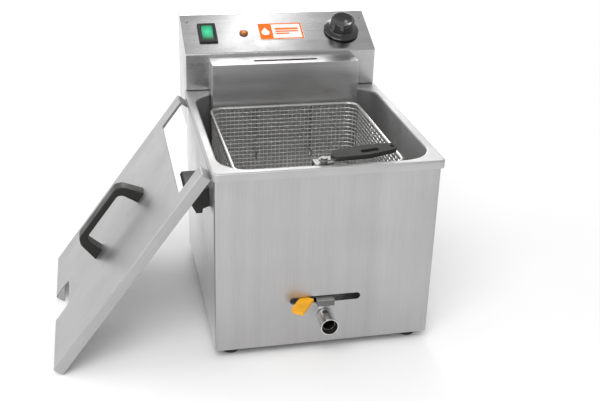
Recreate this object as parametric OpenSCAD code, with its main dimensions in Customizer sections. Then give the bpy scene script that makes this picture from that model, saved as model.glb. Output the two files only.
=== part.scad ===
// Countertop electric deep fryer: steel cabinet with an oil tank, a lift-off
// control head with its heating element, a wire basket, a leaning lid and a
// quarter-turn drain tap. Millimetres, +Z up, -Y is the front of the fryer.

/* [Cabinet] */
// Width of the cabinet
body_w = 300; // [260:5:340]
// Depth of the cabinet, without the control head behind it
body_d = 329; // [300:1:360]
// Height of the top of the tank rim above the floor
rim_top = 276; // [260:1:300]
// Height of the rubber feet
foot_h = 12; // [8:1:20]
// Diameter of a rubber foot
foot_dia = 25; // [18:1:32]
// Thickness of the sheet steel
sheet = 1; // [0.8:0.1:1.5]
// Gap between the folded front panel and each side panel
seam = 0.8; // [0.5:0.1:1.2]

/* [Tank] */
// Overhang of the rim past the cabinet sides
rim_over = 3; // [2:0.5:6]
// Overhang of the rim past the front panel
rim_front = 8; // [4:0.5:10]
// Height of the turned-down edge of the rim
rim_drop = 11; // [8:0.5:14]
// Distance from a cabinet side to the tank opening
rim_land = 9; // [8:0.5:14]
// Depth of the tank below its rim
tank_depth = 184; // [160:1:190]
// Radius of the tank's upright corners
tank_corner = 42; // [30:1:50]

/* [Control head] */
// Distance from the front panel to the upright face of the head
head_front = 320; // [316:1:322]
// Overall height of the head's top above the floor
head_top = 374; // [360:1:390]
// Height of the lower edge of the sloped control panel
slope_low = 334; // [326:1:340]
// Horizontal run of the sloped control panel
slope_run = 86; // [80:1:92]
// Depth of the head's flat top behind the slope
head_flat = 19; // [10:1:30]
// Height of the underside of the head behind the cabinet
head_skirt = 215; // [190:5:230]
// Width of the element cover box
cover_w = 226; // [200:2:240]
// Diameter of the thermostat knob's skirt
knob_dia = 56; // [50:1:60]

/* [Basket] */
// Length of the basket from front to back
basket_l = 250; // [230:2:252]
// Width of the basket
basket_w = 232; // [210:2:236]
// Depth of the basket
basket_h = 126; // [100:1:130]
// Sideways place of the basket in the tank
basket_x = -7; // [-10:1:7]
// Diameter of the rim wire
rim_wire = 6; // [5:0.5:7]

/* [Lid] */
// Width of the lid over its flanges
lid_w = 310; // [310:1:314]
// Length of the lid
lid_l = 333; // [325:1:336]
// Height of the lid's turned-down flanges
lid_flange = 14; // [10:1:18]
// Lean of the lid from the floor, in degrees
lid_lean = 53.3; // [52.5:0.1:54.5]

/* [Drain] */
// Height of the spout's centre line above the floor
spout_z = 53; // [48:1:58]
// Outer diameter of the spout
spout_dia = 24; // [22:0.5:26]
// Length of spout in front of the panel
spout_out = 30; // [24:1:36]
// Turn of the tap lever towards the left when closed, in degrees
lever_rest = 40; // [38:1:42]

/* [Hidden] */
$fn = 48;

steel = [0.74, 0.74, 0.73];
dark_steel = [0.45, 0.45, 0.44];
black = [0.10, 0.10, 0.09];
rubber = [0.07, 0.07, 0.07];

// cabinet
half_w = body_w / 2;
panel_top = rim_top - sheet - 0.5;
fold_r = 4;
fold_d = 6.6;

// tank
tank_x = half_w - rim_land;
tank_y0 = 4;
tank_y1 = 306;
tank_floor = rim_top - tank_depth;
drain_y = 78;
drain_r = 9;

// control head
slope_rise = head_top - slope_low;
slope_angle = atan2(slope_rise, slope_run);
head_rear = head_front + slope_run + head_flat;
head_floor = rim_top + 0.5;
step_y = body_d + 1;
gland_out = 16;
gland_x = -100;
gland_z = 240;

// element cover, a box standing in the rear of the tank
cover_x = -2;
cover_y = 274;
cover_top = 329;
cover_low = 150;
cover_step_y = 300;
cover_step_z = rim_top + 2;
hook_slot_y = 292;
hook_slot_l = 100;
hook_slot_w = 8;

// heating element: six legs along Y joined by half-circle bends
rod_r = 4;
leg_pitch = 36;
rod_z = tank_floor + 16;
rod_front = 62;
rod_rear = 236;
rod_bend = 14;
riser_y = 287;
tail_z = 300;
leg_x = [for (i = [0:5]) cover_x + (i - 2.5) * leg_pitch];

// places on the sloped panel: distance across and distance up the slope
switch_x = -111;
switch_s = 48;
lamp_x = -54;
lamp_s = 46;
label_x = 7;
label_s = 49;
knob_x = 104;
knob_s = 45;
rocker_rest = 8;

// basket
basket_y0 = 17;
basket_top = 267;
basket_low = basket_top - basket_h;
basket_x0 = basket_x - basket_w / 2;
basket_x1 = basket_x + basket_w / 2;
basket_y1 = basket_y0 + basket_l;
basket_r = 20;
mesh_t = 1.2;
bracket_z = basket_top + 7;
pivot_y = basket_y0 - 6;
pivot_r = 2.4;
shank_z = rim_top + 3;
handle_turn = 11;

// tap
valve_y = 30;
lever_dip = 10;
lever_swing = 80;
spout_r = spout_dia / 2;
thread_r = spout_r - 0.3;
bore_r = 8.5;
ball_r = 13.2;
stem_r = 4;
slot_z = 80;
slot_w = 10;
slot_l = 98;
lever_t = 2.5;
lever_w = 12;
lever_arm = 36;
lever_tip = 30;
sleeve_w = 18;
sleeve_t = 5.2;
sleeve_start = 1.5;
sleeve_end = 31;
lever_z = slot_z + 1.7;
guard_w = 24;
mouth_r = spout_r - 1.4;
mouth_deep = 8;

// side grip, on the left
grip_y0 = 50;
grip_y1 = 112;
grip_top = 232;
grip_out = 32;

// lid: its own frame has X across, Y from the ground end up, Z out of the face
lid_foot_z = lid_flange * cos(lid_lean);
lid_foot_x = -half_w - rim_over - 0.6 - lid_l * cos(lid_lean) - lid_flange * sin(lid_lean);
lid_y = -2;
cutout_x = 5;
cutout_w = 246;
cutout_d = 46;
notch_w = 68;
notch_d = 35;
handle_l = 122;
handle_h = 37;
handle_w = 21;
handle_y = lid_l / 2 - 3;
handle_feet = [for (side = [-1, 1]) handle_y + side * (handle_l / 2 - 10)];

// the origin is the middle of the whole set's base
left_x = lid_foot_x;
right_x = half_w + rim_over;
front_y = -spout_out;
back_y = head_rear + gland_out;
mid_x = (left_x + right_x) / 2;
mid_y = (front_y + back_y) / 2;

module place() { translate([-mid_x, -mid_y, 0]) children(); }

module on_slope(x, s) {
    translate([x, head_front + s * cos(slope_angle), slope_low + s * sin(slope_angle)])
        rotate([slope_angle, 0, 0]) children();
}

module lid_place() {
    translate([lid_foot_x, lid_y + lid_w / 2, lid_foot_z])
        rotate([0, -lid_lean, 0]) rotate([0, 0, -90]) children();
}

// flat rectangle from corner to corner, with round corners
module round_rect(x0, y0, x1, y1, r) {
    translate([x0 + r, y0]) square([x1 - x0 - 2 * r, y1 - y0]);
    translate([x0, y0 + r]) square([x1 - x0, y1 - y0 - 2 * r]);
    for (x = [x0 + r, x1 - r], y = [y0 + r, y1 - r]) translate([x, y]) circle(r);
}

// flat slot with round ends, centred, along X
module slot2d(l, w) {
    square([l - w, w], center = true);
    for (x = [-1, 1]) translate([x * (l - w) / 2, 0]) circle(w / 2);
}

// a drawing in the YZ plane pushed out along X, centred
module side_extrude(w) {
    translate([-w / 2, 0, 0]) rotate([90, 0, 90]) linear_extrude(w) children();
}

// round bar from a point along +X, +Y or +Z
module bar_x(r, l) { rotate([0, 90, 0]) cylinder(r = r, h = l); }
module bar_y(r, l) { rotate([-90, 0, 0]) cylinder(r = r, h = l); }

// quarter or half bend of a round bar, lying flat, centred on its bend
module bend(r_bend, r_bar, angle) {
    rotate_extrude(angle = angle) translate([r_bend, 0]) circle(r_bar);
}

// pan head screw standing on z = 0 with its shank below and a cross recess on top
module screw(head_r, head_h, shank_r, shank_l) {
    recess = [head_r * 1.1, 0.9];
    difference() {
        union() {
            cylinder(r = head_r, h = head_h);
            translate([0, 0, -shank_l]) cylinder(r = shank_r, h = shank_l + head_h / 4);
        }
        translate([0, 0, head_h / 2]) linear_extrude(head_h) {
            square(recess, center = true);
            rotate(90) square(recess, center = true);
        }
    }
}

// ---------------------------------------------------------------- cabinet

module tank() color(steel) place() {
    // rim plate
    translate([0, 0, rim_top - sheet]) linear_extrude(sheet) difference() {
        round_rect(-half_w - rim_over, -rim_front, half_w + rim_over, body_d - sheet, 9);
        round_rect(-tank_x, tank_y0, tank_x, tank_y1, tank_corner);
    }
    // turned-down edge on three sides
    translate([0, 0, rim_top - rim_drop]) linear_extrude(rim_drop - sheet) difference() {
        round_rect(-half_w - rim_over, -rim_front, half_w + rim_over, body_d + 20, 9);
        round_rect(-half_w - rim_over + sheet, -rim_front + sheet,
                   half_w + rim_over - sheet, body_d + 19, 8);
        translate([-body_w, body_d - sheet]) square([2 * body_w, 60]);
    }
    // deep-drawn walls and floor
    translate([0, 0, tank_floor - sheet]) linear_extrude(tank_depth) difference() {
        round_rect(-tank_x - sheet, tank_y0 - sheet, tank_x + sheet, tank_y1 + sheet,
                   tank_corner + sheet);
        round_rect(-tank_x, tank_y0, tank_x, tank_y1, tank_corner);
    }
    translate([0, 0, tank_floor - sheet]) linear_extrude(sheet) difference() {
        round_rect(-tank_x, tank_y0, tank_x, tank_y1, tank_corner);
        translate([0, drain_y]) circle(drain_r);
    }
}

module front_panel() color(steel) place() difference() {
    translate([0, 0, foot_h]) linear_extrude(panel_top - foot_h) difference() {
        round_rect(-half_w, 0, half_w, 40, fold_r);
        round_rect(-half_w + sheet, sheet, half_w - sheet, 39, fold_r - sheet);
        translate([-body_w, fold_d]) square([2 * body_w, 60]);
    }
    translate([0, 3, slot_z]) rotate([90, 0, 0]) linear_extrude(6) slot2d(slot_l, slot_w);
    translate([0, -3, spout_z]) bar_y(spout_r + 0.5, 8);
}

// side sheet with a folded inner flange along its front edge
module side_panel() {
    panel_y0 = fold_d + seam;
    translate([-half_w, panel_y0, foot_h])
        cube([sheet, body_d - sheet - panel_y0, panel_top - foot_h]);
    translate([-half_w, panel_y0, foot_h]) cube([12, sheet, panel_top - foot_h]);
}

module side_panel_left() color(steel) place() side_panel();

module side_panel_right() color(steel) place() mirror([1, 0, 0]) side_panel();

module back_panel() color(steel) place() difference() {
    translate([-half_w, body_d - sheet, foot_h])
        cube([body_w, sheet, rim_top - rim_drop - foot_h - 1]);
    for (row = [0:5], side = [-1, 1])
        translate([side * 70, body_d + 3, 60 + row * 14]) rotate([90, 0, 0])
            linear_extrude(6) slot2d(90, 5);
}

module base_plate() color(steel) place() difference() {
    translate([-half_w + 1.2, fold_d + 2, foot_h])
        cube([body_w - 2.4, body_d - fold_d - 3.4, 1.2]);
    for (x = [-1, 1], y = [21, body_d - 27])
        translate([x * 127, y, foot_h - 1]) cylinder(r = 3, h = 4);
    for (x = [-80:20:80])
        translate([x, 200, foot_h - 1]) linear_extrude(4) rotate(90) slot2d(60, 6);
}

module rubber_feet() color(rubber) place()
    for (x = [-1, 1], y = [21, body_d - 27]) translate([x * 127, y, 0]) difference() {
        cylinder(r1 = foot_dia / 2 - 1, r2 = foot_dia / 2, h = foot_h);
        translate([0, 0, -1]) cylinder(r = 5.5, h = 6);
        cylinder(r = 2.6, h = foot_h + 1);
    }

module foot_screws() color(steel) place()
    for (x = [-1, 1], y = [21, body_d - 27])
        translate([x * 127, y, 4.9]) mirror([0, 0, 1]) screw(4.5, 2.4, 2.5, 12);

// outline of a grip's end web, from the panel outwards
module grip_web() {
    polygon([[0, grip_top], [0, grip_top - 26], [8, grip_top - 29], [9, grip_top - 35],
             [17, grip_top - 35], [grip_out - 2, grip_top - 10], [grip_out, grip_top - 4],
             [grip_out - 3, grip_top]]);
}

// top plate, wall plate and outer lip of a grip
module grip_channel() {
    difference() {
        polygon([[0, grip_top], [0, grip_top - 26], [grip_out - 6.4, grip_top - 17],
                 [grip_out - 2, grip_top - 10], [grip_out, grip_top - 4], [grip_out - 3, grip_top]]);
        polygon([[4, grip_top - 4], [4, grip_top - 40], [grip_out - 8, grip_top - 40],
                 [grip_out - 8, grip_top - 16], [grip_out - 5, grip_top - 6],
                 [grip_out - 7, grip_top - 4]]);
    }
}

module side_grip() color(black) place() {
    web_t = 5;
    translate([-half_w, 0, 0]) mirror([1, 0, 0]) {
        translate([0, grip_y1, 0]) rotate([90, 0, 0])
            linear_extrude(grip_y1 - grip_y0) grip_channel();
        for (y = [grip_y0 + web_t, grip_y1])
            translate([0, y, 0]) rotate([90, 0, 0]) linear_extrude(web_t) grip_web();
    }
}

module grip_screws() color(steel) place()
    for (y = [grip_y0 + 14, grip_y1 - 14])
        translate([-half_w - 4, y, grip_top - 14]) rotate([0, -90, 0]) cylinder(r = 3.4, h = 1.8);

// lugs on the back panel that locate the lift-off control head
module head_lugs() color(steel) place()
    for (x = [-60, 60]) translate([x - 1.5, body_d, 222]) cube([3, 12, 40]);

// ---------------------------------------------------------------- drain tap

module drain_elbow() color(steel) place() {
    bend_r = 22;
    top_z = tank_floor - sheet;
    pipe_r = drain_r + 2;
    difference() {
        union() {
            translate([0, drain_y, spout_z + bend_r]) cylinder(r = pipe_r, h = top_z - spout_z - bend_r);
            translate([0, drain_y - bend_r, spout_z + bend_r]) rotate([0, 90, 0])
                rotate_extrude(angle = 90) translate([bend_r, 0]) circle(pipe_r);
            translate([0, valve_y + 20, spout_z]) bar_y(pipe_r, drain_y - bend_r - valve_y - 20);
        }
        translate([0, drain_y, spout_z + bend_r]) cylinder(r = drain_r, h = 60);
        translate([0, drain_y - bend_r, spout_z + bend_r]) rotate([0, 90, 0])
            rotate_extrude(angle = 90) translate([bend_r, 0]) circle(drain_r);
        translate([0, valve_y, spout_z]) bar_y(drain_r, drain_y - bend_r - valve_y);
    }
}

module valve_body() color("silver") place() difference() {
    union() {
        translate([0, valve_y - 20, spout_z]) bar_y(17, 40);
        translate([0, valve_y, spout_z]) cylinder(r = 8, h = 20);
    }
    translate([0, valve_y - 21, spout_z]) bar_y(bore_r, 42);
    translate([0, valve_y, spout_z]) sphere(r = ball_r + 0.4);
    translate([0, valve_y, spout_z]) cylinder(r = stem_r + 0.05, h = 22);
    // recesses for the two seat rings
    for (side = [-1, 1]) translate([0, valve_y + side * 10 - 3, spout_z]) bar_y(11, 6);
}

module seat_rings() color("white") place()
    for (side = [-1, 1]) difference() {
        translate([0, valve_y + side * 11 - 2, spout_z]) bar_y(11, 4);
        translate([0, valve_y - 20, spout_z]) bar_y(bore_r, 40);
        translate([0, valve_y, spout_z]) sphere(r = ball_r + 0.3);
    }

module gland_nut() color("silver") place()
    translate([0, valve_y, spout_z + 20]) difference() {
        cylinder(r = 8.5, h = 5, $fn = 6);
        translate([0, 0, -1]) cylinder(r = stem_r + 0.3, h = 7);
    }

module drain_spout() color("silver") place() difference() {
    translate([0, -spout_out, spout_z]) {
        bar_y(spout_r, spout_out - 2);
        bar_y(thread_r, spout_out + valve_y - 20);
    }
    translate([0, -spout_out - 1, spout_z]) bar_y(bore_r, 60);
    translate([0, -spout_out - 1, spout_z]) bar_y(mouth_r, mouth_deep + 1);
    // bayonet notch and its key hole at the mouth
    translate([3, -spout_out - 1, spout_z - 14]) cube([4, 5, 14]);
    translate([-14, -spout_out + 7, spout_z + 2]) bar_x(1.6, 14);
}

module spout_locknut() color("silver") place()
    translate([0, sheet + 0.2, spout_z]) difference() {
        rotate([-90, 0, 0]) cylinder(r = 15, h = 5, $fn = 6);
        translate([0, -1, 0]) bar_y(thread_r + 0.05, 8);
    }

// folded plate hung over the lower edge of the lever slot; the lever passes just above it
module lever_guard() color(dark_steel) place() {
    guard_low = slot_z - slot_w / 2 - 4.5;
    guard_high = lever_z - lever_t / 2 - 0.8;
    guard_back = sheet + 0.3;
    translate([-guard_w / 2, 0, 0]) side_guard(guard_low, guard_high, guard_back);
}

module side_guard(low, high, back) {
    leaf = 1.5;
    lip = 4.5;
    tail = 14;
    rotate([90, 0, 90]) linear_extrude(guard_w)
        polygon([[-lip, low], [-lip, high], [tail, high], [tail, high - leaf],
                 [back + leaf, high - leaf], [back + leaf, low], [back, low], [back, high - leaf],
                 [-lip + leaf, high - leaf], [-lip + leaf, low]]);
}

// everything that turns with the lever, drawn pointing forwards, then turned
module lever_turned() {
    translate([0, valve_y, 0]) rotate([0, 0, -lever_rest]) translate([0, -valve_y, 0]) children();
}

module valve_ball() color("silver") place() lever_turned()
    translate([0, valve_y, spout_z]) difference() {
        sphere(r = ball_r);
        // in line with the pipe once the lever has made its full swing
        rotate([90, 0, lever_rest - lever_swing]) cylinder(r = bore_r, h = 40, center = true);
        translate([-10, -2.1, ball_r - 4]) cube([20, 4.2, 10]);
    }

module valve_stem() color("silver") place() lever_turned()
    translate([0, valve_y, 0]) {
        translate([0, 0, spout_z + ball_r + 0.5]) cylinder(r = stem_r, h = lever_z + 4 - spout_z - ball_r);
        translate([-3, -2, spout_z + ball_r - 3.5]) cube([6, 4, 4.2]);
    }

// outline of the folded lever strap, seen from the side, from the stem forwards
module lever_strap() {
    h = lever_t / 2;
    mitre = h * tan(lever_dip / 2);
    end_y = -lever_arm - lever_tip * cos(lever_dip);
    end_z = -lever_tip * sin(lever_dip);
    off_y = h * sin(lever_dip);
    off_z = h * cos(lever_dip);
    polygon([[0, h], [-lever_arm - mitre, h], [end_y - off_y, end_z + off_z],
             [end_y + off_y, end_z - off_z], [-lever_arm + mitre, -h], [0, -h]]);
}

module tap_lever() color(steel) place() lever_turned()
    translate([0, valve_y, lever_z]) difference() {
        union() {
            translate([0, 0, -lever_t / 2]) cylinder(r = 9, h = lever_t);
            side_extrude(lever_w) lever_strap();
        }
        cylinder(r = stem_r + 0.05, h = 20, center = true);
    }

module lever_sleeve() color([0.95, 0.65, 0.10]) place() lever_turned()
    translate([0, valve_y - lever_arm, lever_z]) rotate([lever_dip, 0, 0]) difference() {
        translate([0, 0, -sleeve_t / 2]) linear_extrude(sleeve_t) {
            translate([-sleeve_w / 2, -sleeve_end]) square([sleeve_w, sleeve_end - sleeve_start]);
            translate([0, -sleeve_end]) scale([1, 0.35]) circle(sleeve_w / 2);
        }
        translate([-lever_w / 2, -lever_tip, -lever_t / 2]) cube([lever_w, 40, lever_t]);
    }

module lever_nut() color("silver") place()
    translate([0, valve_y, lever_z + lever_t / 2]) difference() {
        cylinder(r = 7, h = 4, $fn = 6);
        translate([0, 0, -1]) cylinder(r = stem_r, h = 6);
    }

// ---------------------------------------------------------------- control head

module head_profile(t, rear) {
    lift = t * tan(slope_angle) - t / cos(slope_angle);
    polygon([[head_front + t, head_floor + t], [head_front + t, slope_low + (t > 0 ? lift : 0)],
             [head_front + (slope_rise - t + (t > 0 ? t / cos(slope_angle) : 0)) / tan(slope_angle),
              head_top - t],
             [rear, head_top - t], [rear, head_skirt + t],
             [step_y + t, head_skirt + t], [step_y + t, head_floor + t]]);
}

module head_casing() color(steel) place() difference() {
    side_extrude(body_w) head_profile(0, head_rear - sheet);
    side_extrude(body_w - 2 * sheet) head_profile(sheet, head_rear + 5);
    // openings in the sloped panel
    on_slope(switch_x, switch_s) cube([22.5, 36.5, 10], center = true);
    on_slope(lamp_x, lamp_s) cylinder(r = 5.2, h = 10, center = true);
    on_slope(knob_x, knob_s) cylinder(r = 5, h = 10, center = true);
    // opening for the element tails and the sensor
    translate([cover_x - 100, head_front - 2, 284]) cube([200, 6, 36]);
    // slots that drop over the locating lugs
    for (x = [-60, 60]) translate([x - 2, step_y - 2, head_skirt - 2]) cube([4, 6, 50]);
    for (x = [-60, 60]) translate([x - 2, step_y - 2, head_skirt - 2]) cube([4, 14, 4]);
}

module head_back_cover() color(steel) place() difference() {
    translate([-half_w, head_rear - sheet, head_skirt])
        cube([body_w, sheet, head_top - head_skirt]);
    translate([gland_x, head_rear - 5, gland_z]) bar_y(8, 10);
    translate([100, head_rear - 5, gland_z]) bar_y(5, 10);
    for (row = [0:4]) translate([0, head_rear + 3, 300 + row * 12]) rotate([90, 0, 0])
        linear_extrude(8) slot2d(120, 5);
}

module cover_screws() color("silver") place() {
    for (x = [-138, 0, 138], z = [head_skirt + 9, head_top - 9])
        translate([x, head_rear, z]) rotate([-90, 0, 0]) cylinder(r = 3.4, h = 1.8);
    for (side = [-1, 1]) on_slope(side * 140.5, 78) cylinder(r = 2.6, h = 1.2);
}

module element_cover() color(dark_steel) place() difference() {
    translate([cover_x, 0, 0]) side_extrude(cover_w)
        polygon([[cover_y, cover_low], [cover_y, cover_top], [head_front - 0.1, cover_top],
                 [head_front - 0.1, cover_step_z], [cover_step_y, cover_step_z],
                 [cover_step_y, cover_low]]);
    translate([cover_x, 0, 0]) side_extrude(cover_w - 2 * sheet)
        polygon([[cover_y + sheet, cover_low - 5], [cover_y + sheet, cover_top - sheet],
                 [head_front + 5, cover_top - sheet], [head_front + 5, cover_step_z + sheet],
                 [cover_step_y - sheet, cover_step_z + sheet],
                 [cover_step_y - sheet, cover_low - 5]]);
    translate([0, hook_slot_y, cover_top - 5]) linear_extrude(10)
        slot2d(hook_slot_l, hook_slot_w);
}

module heating_element() color(dark_steel) place() {
    last = len(leg_x) - 1;
    for (i = [1:last - 1]) translate([leg_x[i], rod_front, rod_z]) bar_y(rod_r, rod_rear - rod_front);
    for (i = [0:2:last - 1])
        translate([(leg_x[i] + leg_x[i + 1]) / 2, rod_front, rod_z]) rotate([0, 0, 180])
            bend(leg_pitch / 2, rod_r, 180);
    for (i = [1:2:last - 1])
        translate([(leg_x[i] + leg_x[i + 1]) / 2, rod_rear, rod_z]) bend(leg_pitch / 2, rod_r, 180);
    for (i = [0, last]) {
        translate([leg_x[i], rod_front, rod_z]) bar_y(rod_r, riser_y - rod_bend - rod_front);
        translate([leg_x[i], riser_y - rod_bend, rod_z + rod_bend]) rotate([0, 90, 0])
            bend(rod_bend, rod_r, 90);
        translate([leg_x[i], riser_y, rod_z + rod_bend])
            cylinder(r = rod_r, h = tail_z - rod_bend - rod_z - rod_bend);
        translate([leg_x[i], riser_y + rod_bend, tail_z - rod_bend]) rotate([0, -90, 0])
            rotate([0, 0, -90]) bend(rod_bend, rod_r, 90);
        translate([leg_x[i], riser_y + rod_bend, tail_z]) bar_y(rod_r, 340 - riser_y - rod_bend);
    }
}

module element_flange() color(steel) place() difference() {
    translate([cover_x - 108, head_front + sheet + 0.1, 279]) cube([216, 2, 50]);
    for (x = [leg_x[0], leg_x[5]])
        translate([x, head_front - 1, tail_z]) bar_y(rod_r + 0.05, 8);
    translate([cover_x, head_front - 1, tail_z]) bar_y(1.6, 8);
}

module element_glands() color("silver") place()
    for (x = [leg_x[0], leg_x[5]]) translate([x, head_front + sheet + 2.2, tail_z]) difference() {
        rotate([-90, 0, 0]) cylinder(r = 8, h = 6, $fn = 6);
        translate([0, -1, 0]) bar_y(rod_r + 0.05, 8);
    }

// thermostat bulb lying over the element, with its capillary into the head
module bulb_sensor() color("silver") place() {
    bulb_z = rod_z + 7.2;
    cap_r = 1.2;
    translate([cover_x, 120, bulb_z]) bar_y(3, 90);
    translate([cover_x, 205, bulb_z]) bar_y(cap_r, riser_y - 8 - 205);
    translate([cover_x, riser_y - 8, bulb_z + 8]) rotate([0, 90, 0]) bend(8, cap_r, 90);
    translate([cover_x, riser_y, bulb_z + 8]) cylinder(r = cap_r, h = tail_z - 16 - bulb_z);
    translate([cover_x, riser_y + 8, tail_z - 8]) rotate([0, -90, 0]) rotate([0, 0, -90])
        bend(8, cap_r, 90);
    translate([cover_x, riser_y + 8, tail_z]) bar_y(cap_r, 335 - riser_y - 8);
}

module thermostat() color("silver") place() on_slope(knob_x, knob_s) difference() {
    union() {
        translate([-21, -21, -36]) cube([42, 42, 33]);
        translate([0, 0, -3.1]) cylinder(r = 8, h = 1.8);
    }
    translate([0, 0, -12]) cylinder(r = 3.05, h = 20);
}

module thermostat_shaft() color("silver") place() on_slope(knob_x, knob_s)
    translate([0, 0, -11]) cylinder(r = 3, h = 22);

module safety_cutout() color(black) place()
    translate([100, head_rear - sheet - 0.2, gland_z]) difference() {
        rotate([90, 0, 0]) cylinder(r = 16, h = 26);
        translate([0, -9.8, 0]) bar_y(4.08, 12);
    }

module reset_button() color([0.75, 0.10, 0.08]) place()
    translate([100, head_rear - 8, gland_z]) bar_y(4, 11);

module terminal_block() color("white") place() difference() {
    translate([-75, 345, 221]) cube([60, 26, 20]);
    for (i = [0:3]) translate([-67 + i * 14.6, 358, 232]) cylinder(r = 4, h = 12);
}

module interlock_switch() color(black) place()
    translate([20, 333, 219]) cube([28, 12, 18]);

module switch_housing() color(black) place() on_slope(switch_x, switch_s) difference() {
    union() {
        translate([-14.3, -22.7, 0.05]) cube([28.6, 45.4, 3]);
        translate([-11, -18, -24]) cube([22, 36, 24.2]);
    }
    translate([-9.2, -15.7, -18]) cube([18.4, 31.4, 30]);
}

// rocker with the stub axle it tips on
module switch_rocker() color([0.05, 0.55, 0.25]) place() on_slope(switch_x, switch_s)
    translate([0, 0, -1.5]) {
        rotate([rocker_rest, 0, 0]) side_extrude(17.4)
            polygon([[-14, 2], [-14, 7], [0, 4.6], [14, 7], [14, 2], [7, -8], [-7, -8]]);
        translate([-9.1, 0, 0]) bar_x(1.6, 18.2);
    }

module pilot_lamp_bezel() color([0.55, 0.30, 0.10]) place() on_slope(lamp_x, lamp_s) difference() {
    union() {
        translate([0, 0, 0.05]) cylinder(r = 6.8, h = 2.4);
        translate([0, 0, -20]) cylinder(r = 5, h = 20.2);
    }
    translate([0, 0, -2]) cylinder(r = 4.4, h = 10);
}

module pilot_lamp_lens() color([1.0, 0.45, 0.08]) place() on_slope(lamp_x, lamp_s)
    translate([0, 0, -1.9]) {
        cylinder(r = 4.3, h = 5);
        translate([0, 0, 5]) cylinder(r1 = 4.3, r2 = 2.6, h = 1.6);
    }

module label_plate() color("white") place() on_slope(label_x, label_s)
    translate([-37.5, -20.5, 0.05]) cube([75, 41, 0.8]);

module cable_gland() color(black) place() translate([gland_x, 0, gland_z]) difference() {
    union() {
        translate([0, head_rear - 10, 0]) bar_y(7.9, 10.1);
        translate([0, head_rear, 0]) rotate([-90, 0, 0]) cylinder(r = 12, h = 5, $fn = 6);
        translate([0, head_rear + 5, 0]) bar_y(9.5, gland_out - 5);
        translate([0, head_rear - 7, 0]) rotate([-90, 0, 0]) cylinder(r = 12, h = 5.8, $fn = 6);
    }
    translate([0, head_rear - 11, 0]) bar_y(4.5, gland_out + 12);
}

// knob: wide skirt, round grip with a dished top
module thermostat_knob() color(black) place() on_slope(knob_x, knob_s)
    translate([0, 0, 1.2]) difference() {
        union() {
            cylinder(r = knob_dia / 2, h = 3);
            translate([0, 0, 3]) cylinder(r1 = knob_dia / 2 - 1, r2 = 20, h = 2.5);
            translate([0, 0, 5.5]) cylinder(r1 = 19.5, r2 = 18.5, h = 17);
        }
        translate([0, 0, 86]) sphere(r = 65);
        translate([0, 0, -1]) cylinder(r = 3, h = 11.2);
        translate([0, 0, -1.2]) pointer_bar();
    }

// light bar let into the sloped skirt of the knob
module pointer_bar() {
    rotate([0, 0, -40]) translate([-1.2, 20.5, 6.2]) rotate([-19.6, 0, 0]) cube([2.4, 6, 0.8]);
}

module knob_pointer() color([0.85, 0.85, 0.83]) place() on_slope(knob_x, knob_s) pointer_bar();

// ---------------------------------------------------------------- basket

module basket_rim() color("silver") place() {
    w = rim_wire / 2;
    r = basket_r;
    z = basket_top - w;
    for (x = [basket_x0 + w, basket_x1 - w])
        translate([x, basket_y0 + r, z]) bar_y(w, basket_l - 2 * r);
    for (y = [basket_y0 + w, basket_y1 - w])
        translate([basket_x0 + r, y, z]) bar_x(w, basket_w - 2 * r);
    corners = [[basket_x1 - r, basket_y1 - r, 0], [basket_x0 + r, basket_y1 - r, 90],
               [basket_x0 + r, basket_y0 + r, 180], [basket_x1 - r, basket_y0 + r, 270]];
    for (c = corners) translate([c[0], c[1], z]) rotate([0, 0, c[2]]) bend(r - w, w, 90);
}

module basket_mesh() color([0.6, 0.6, 0.6]) place() {
    inset = rim_wire / 2 + mesh_t / 2;
    top = basket_top - rim_wire;
    difference() {
        translate([0, 0, basket_low]) linear_extrude(top - basket_low)
            round_rect(basket_x0 + inset - mesh_t, basket_y0 + inset - mesh_t,
                       basket_x1 - inset + mesh_t, basket_y1 - inset + mesh_t, basket_r - 2);
        translate([0, 0, basket_low + mesh_t]) linear_extrude(top)
            round_rect(basket_x0 + inset, basket_y0 + inset,
                       basket_x1 - inset, basket_y1 - inset, basket_r - 2 - mesh_t);
    }
}

// a U-shaped foot wire under each long side, standing on the tank floor
module basket_skids() color("silver") place() {
    w = 2.5;
    bend_r = 8;
    foot = tank_floor + 0.3 + w;
    for (x = [basket_x0 + 8, basket_x1 - 8]) {
        for (y = [50, 236]) translate([x, y, foot + bend_r])
            cylinder(r = w, h = basket_low - foot - bend_r);
        translate([x, 50 + bend_r, foot + bend_r]) rotate([0, 90, 0]) rotate([0, 0, -90])
            bend(bend_r, w, 90);
        translate([x, 236 - bend_r, foot + bend_r]) rotate([0, 90, 0]) bend(bend_r, w, 90);
        translate([x, 50 + bend_r, foot]) bar_y(w, 186 - 2 * bend_r);
    }
}

// rear hook that drops into the slot of the element cover for draining
module basket_hook() color("silver") place() {
    y0 = basket_y1 - rim_wire / 2 + mesh_t / 2 + 0.1;
    for (x = [-43, 43]) translate([basket_x + x - 2.5, y0, basket_low + 40])
        cube([5, 1.5, basket_top - rim_wire - basket_low - 40.5]);
    translate([basket_x - 45.5, y0, basket_low + 60]) cube([91, 1.5, 10]);
}

// angle plate over the front of the rim wire, with two locating wires
module handle_bracket() color("silver") place() translate([basket_x, 0, 0]) {
    plate_y = basket_y0 + rim_wire;
    wire_r = 2.2;
    translate([-12, plate_y, bracket_z - 24]) cube([24, 1.5, 24]);
    translate([-12, pivot_y - 5.5, bracket_z]) difference() {
        cube([24, plate_y + 7 - pivot_y, 1.5]);
        translate([12, 5.5, -1]) cylinder(r = pivot_r + 0.05, h = 5);
    }
    for (x = [-9, 9]) translate([x, tank_y0 + 0.6, basket_top + wire_r + 0.2])
        bar_y(wire_r, plate_y - tank_y0 - 0.6);
}

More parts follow.
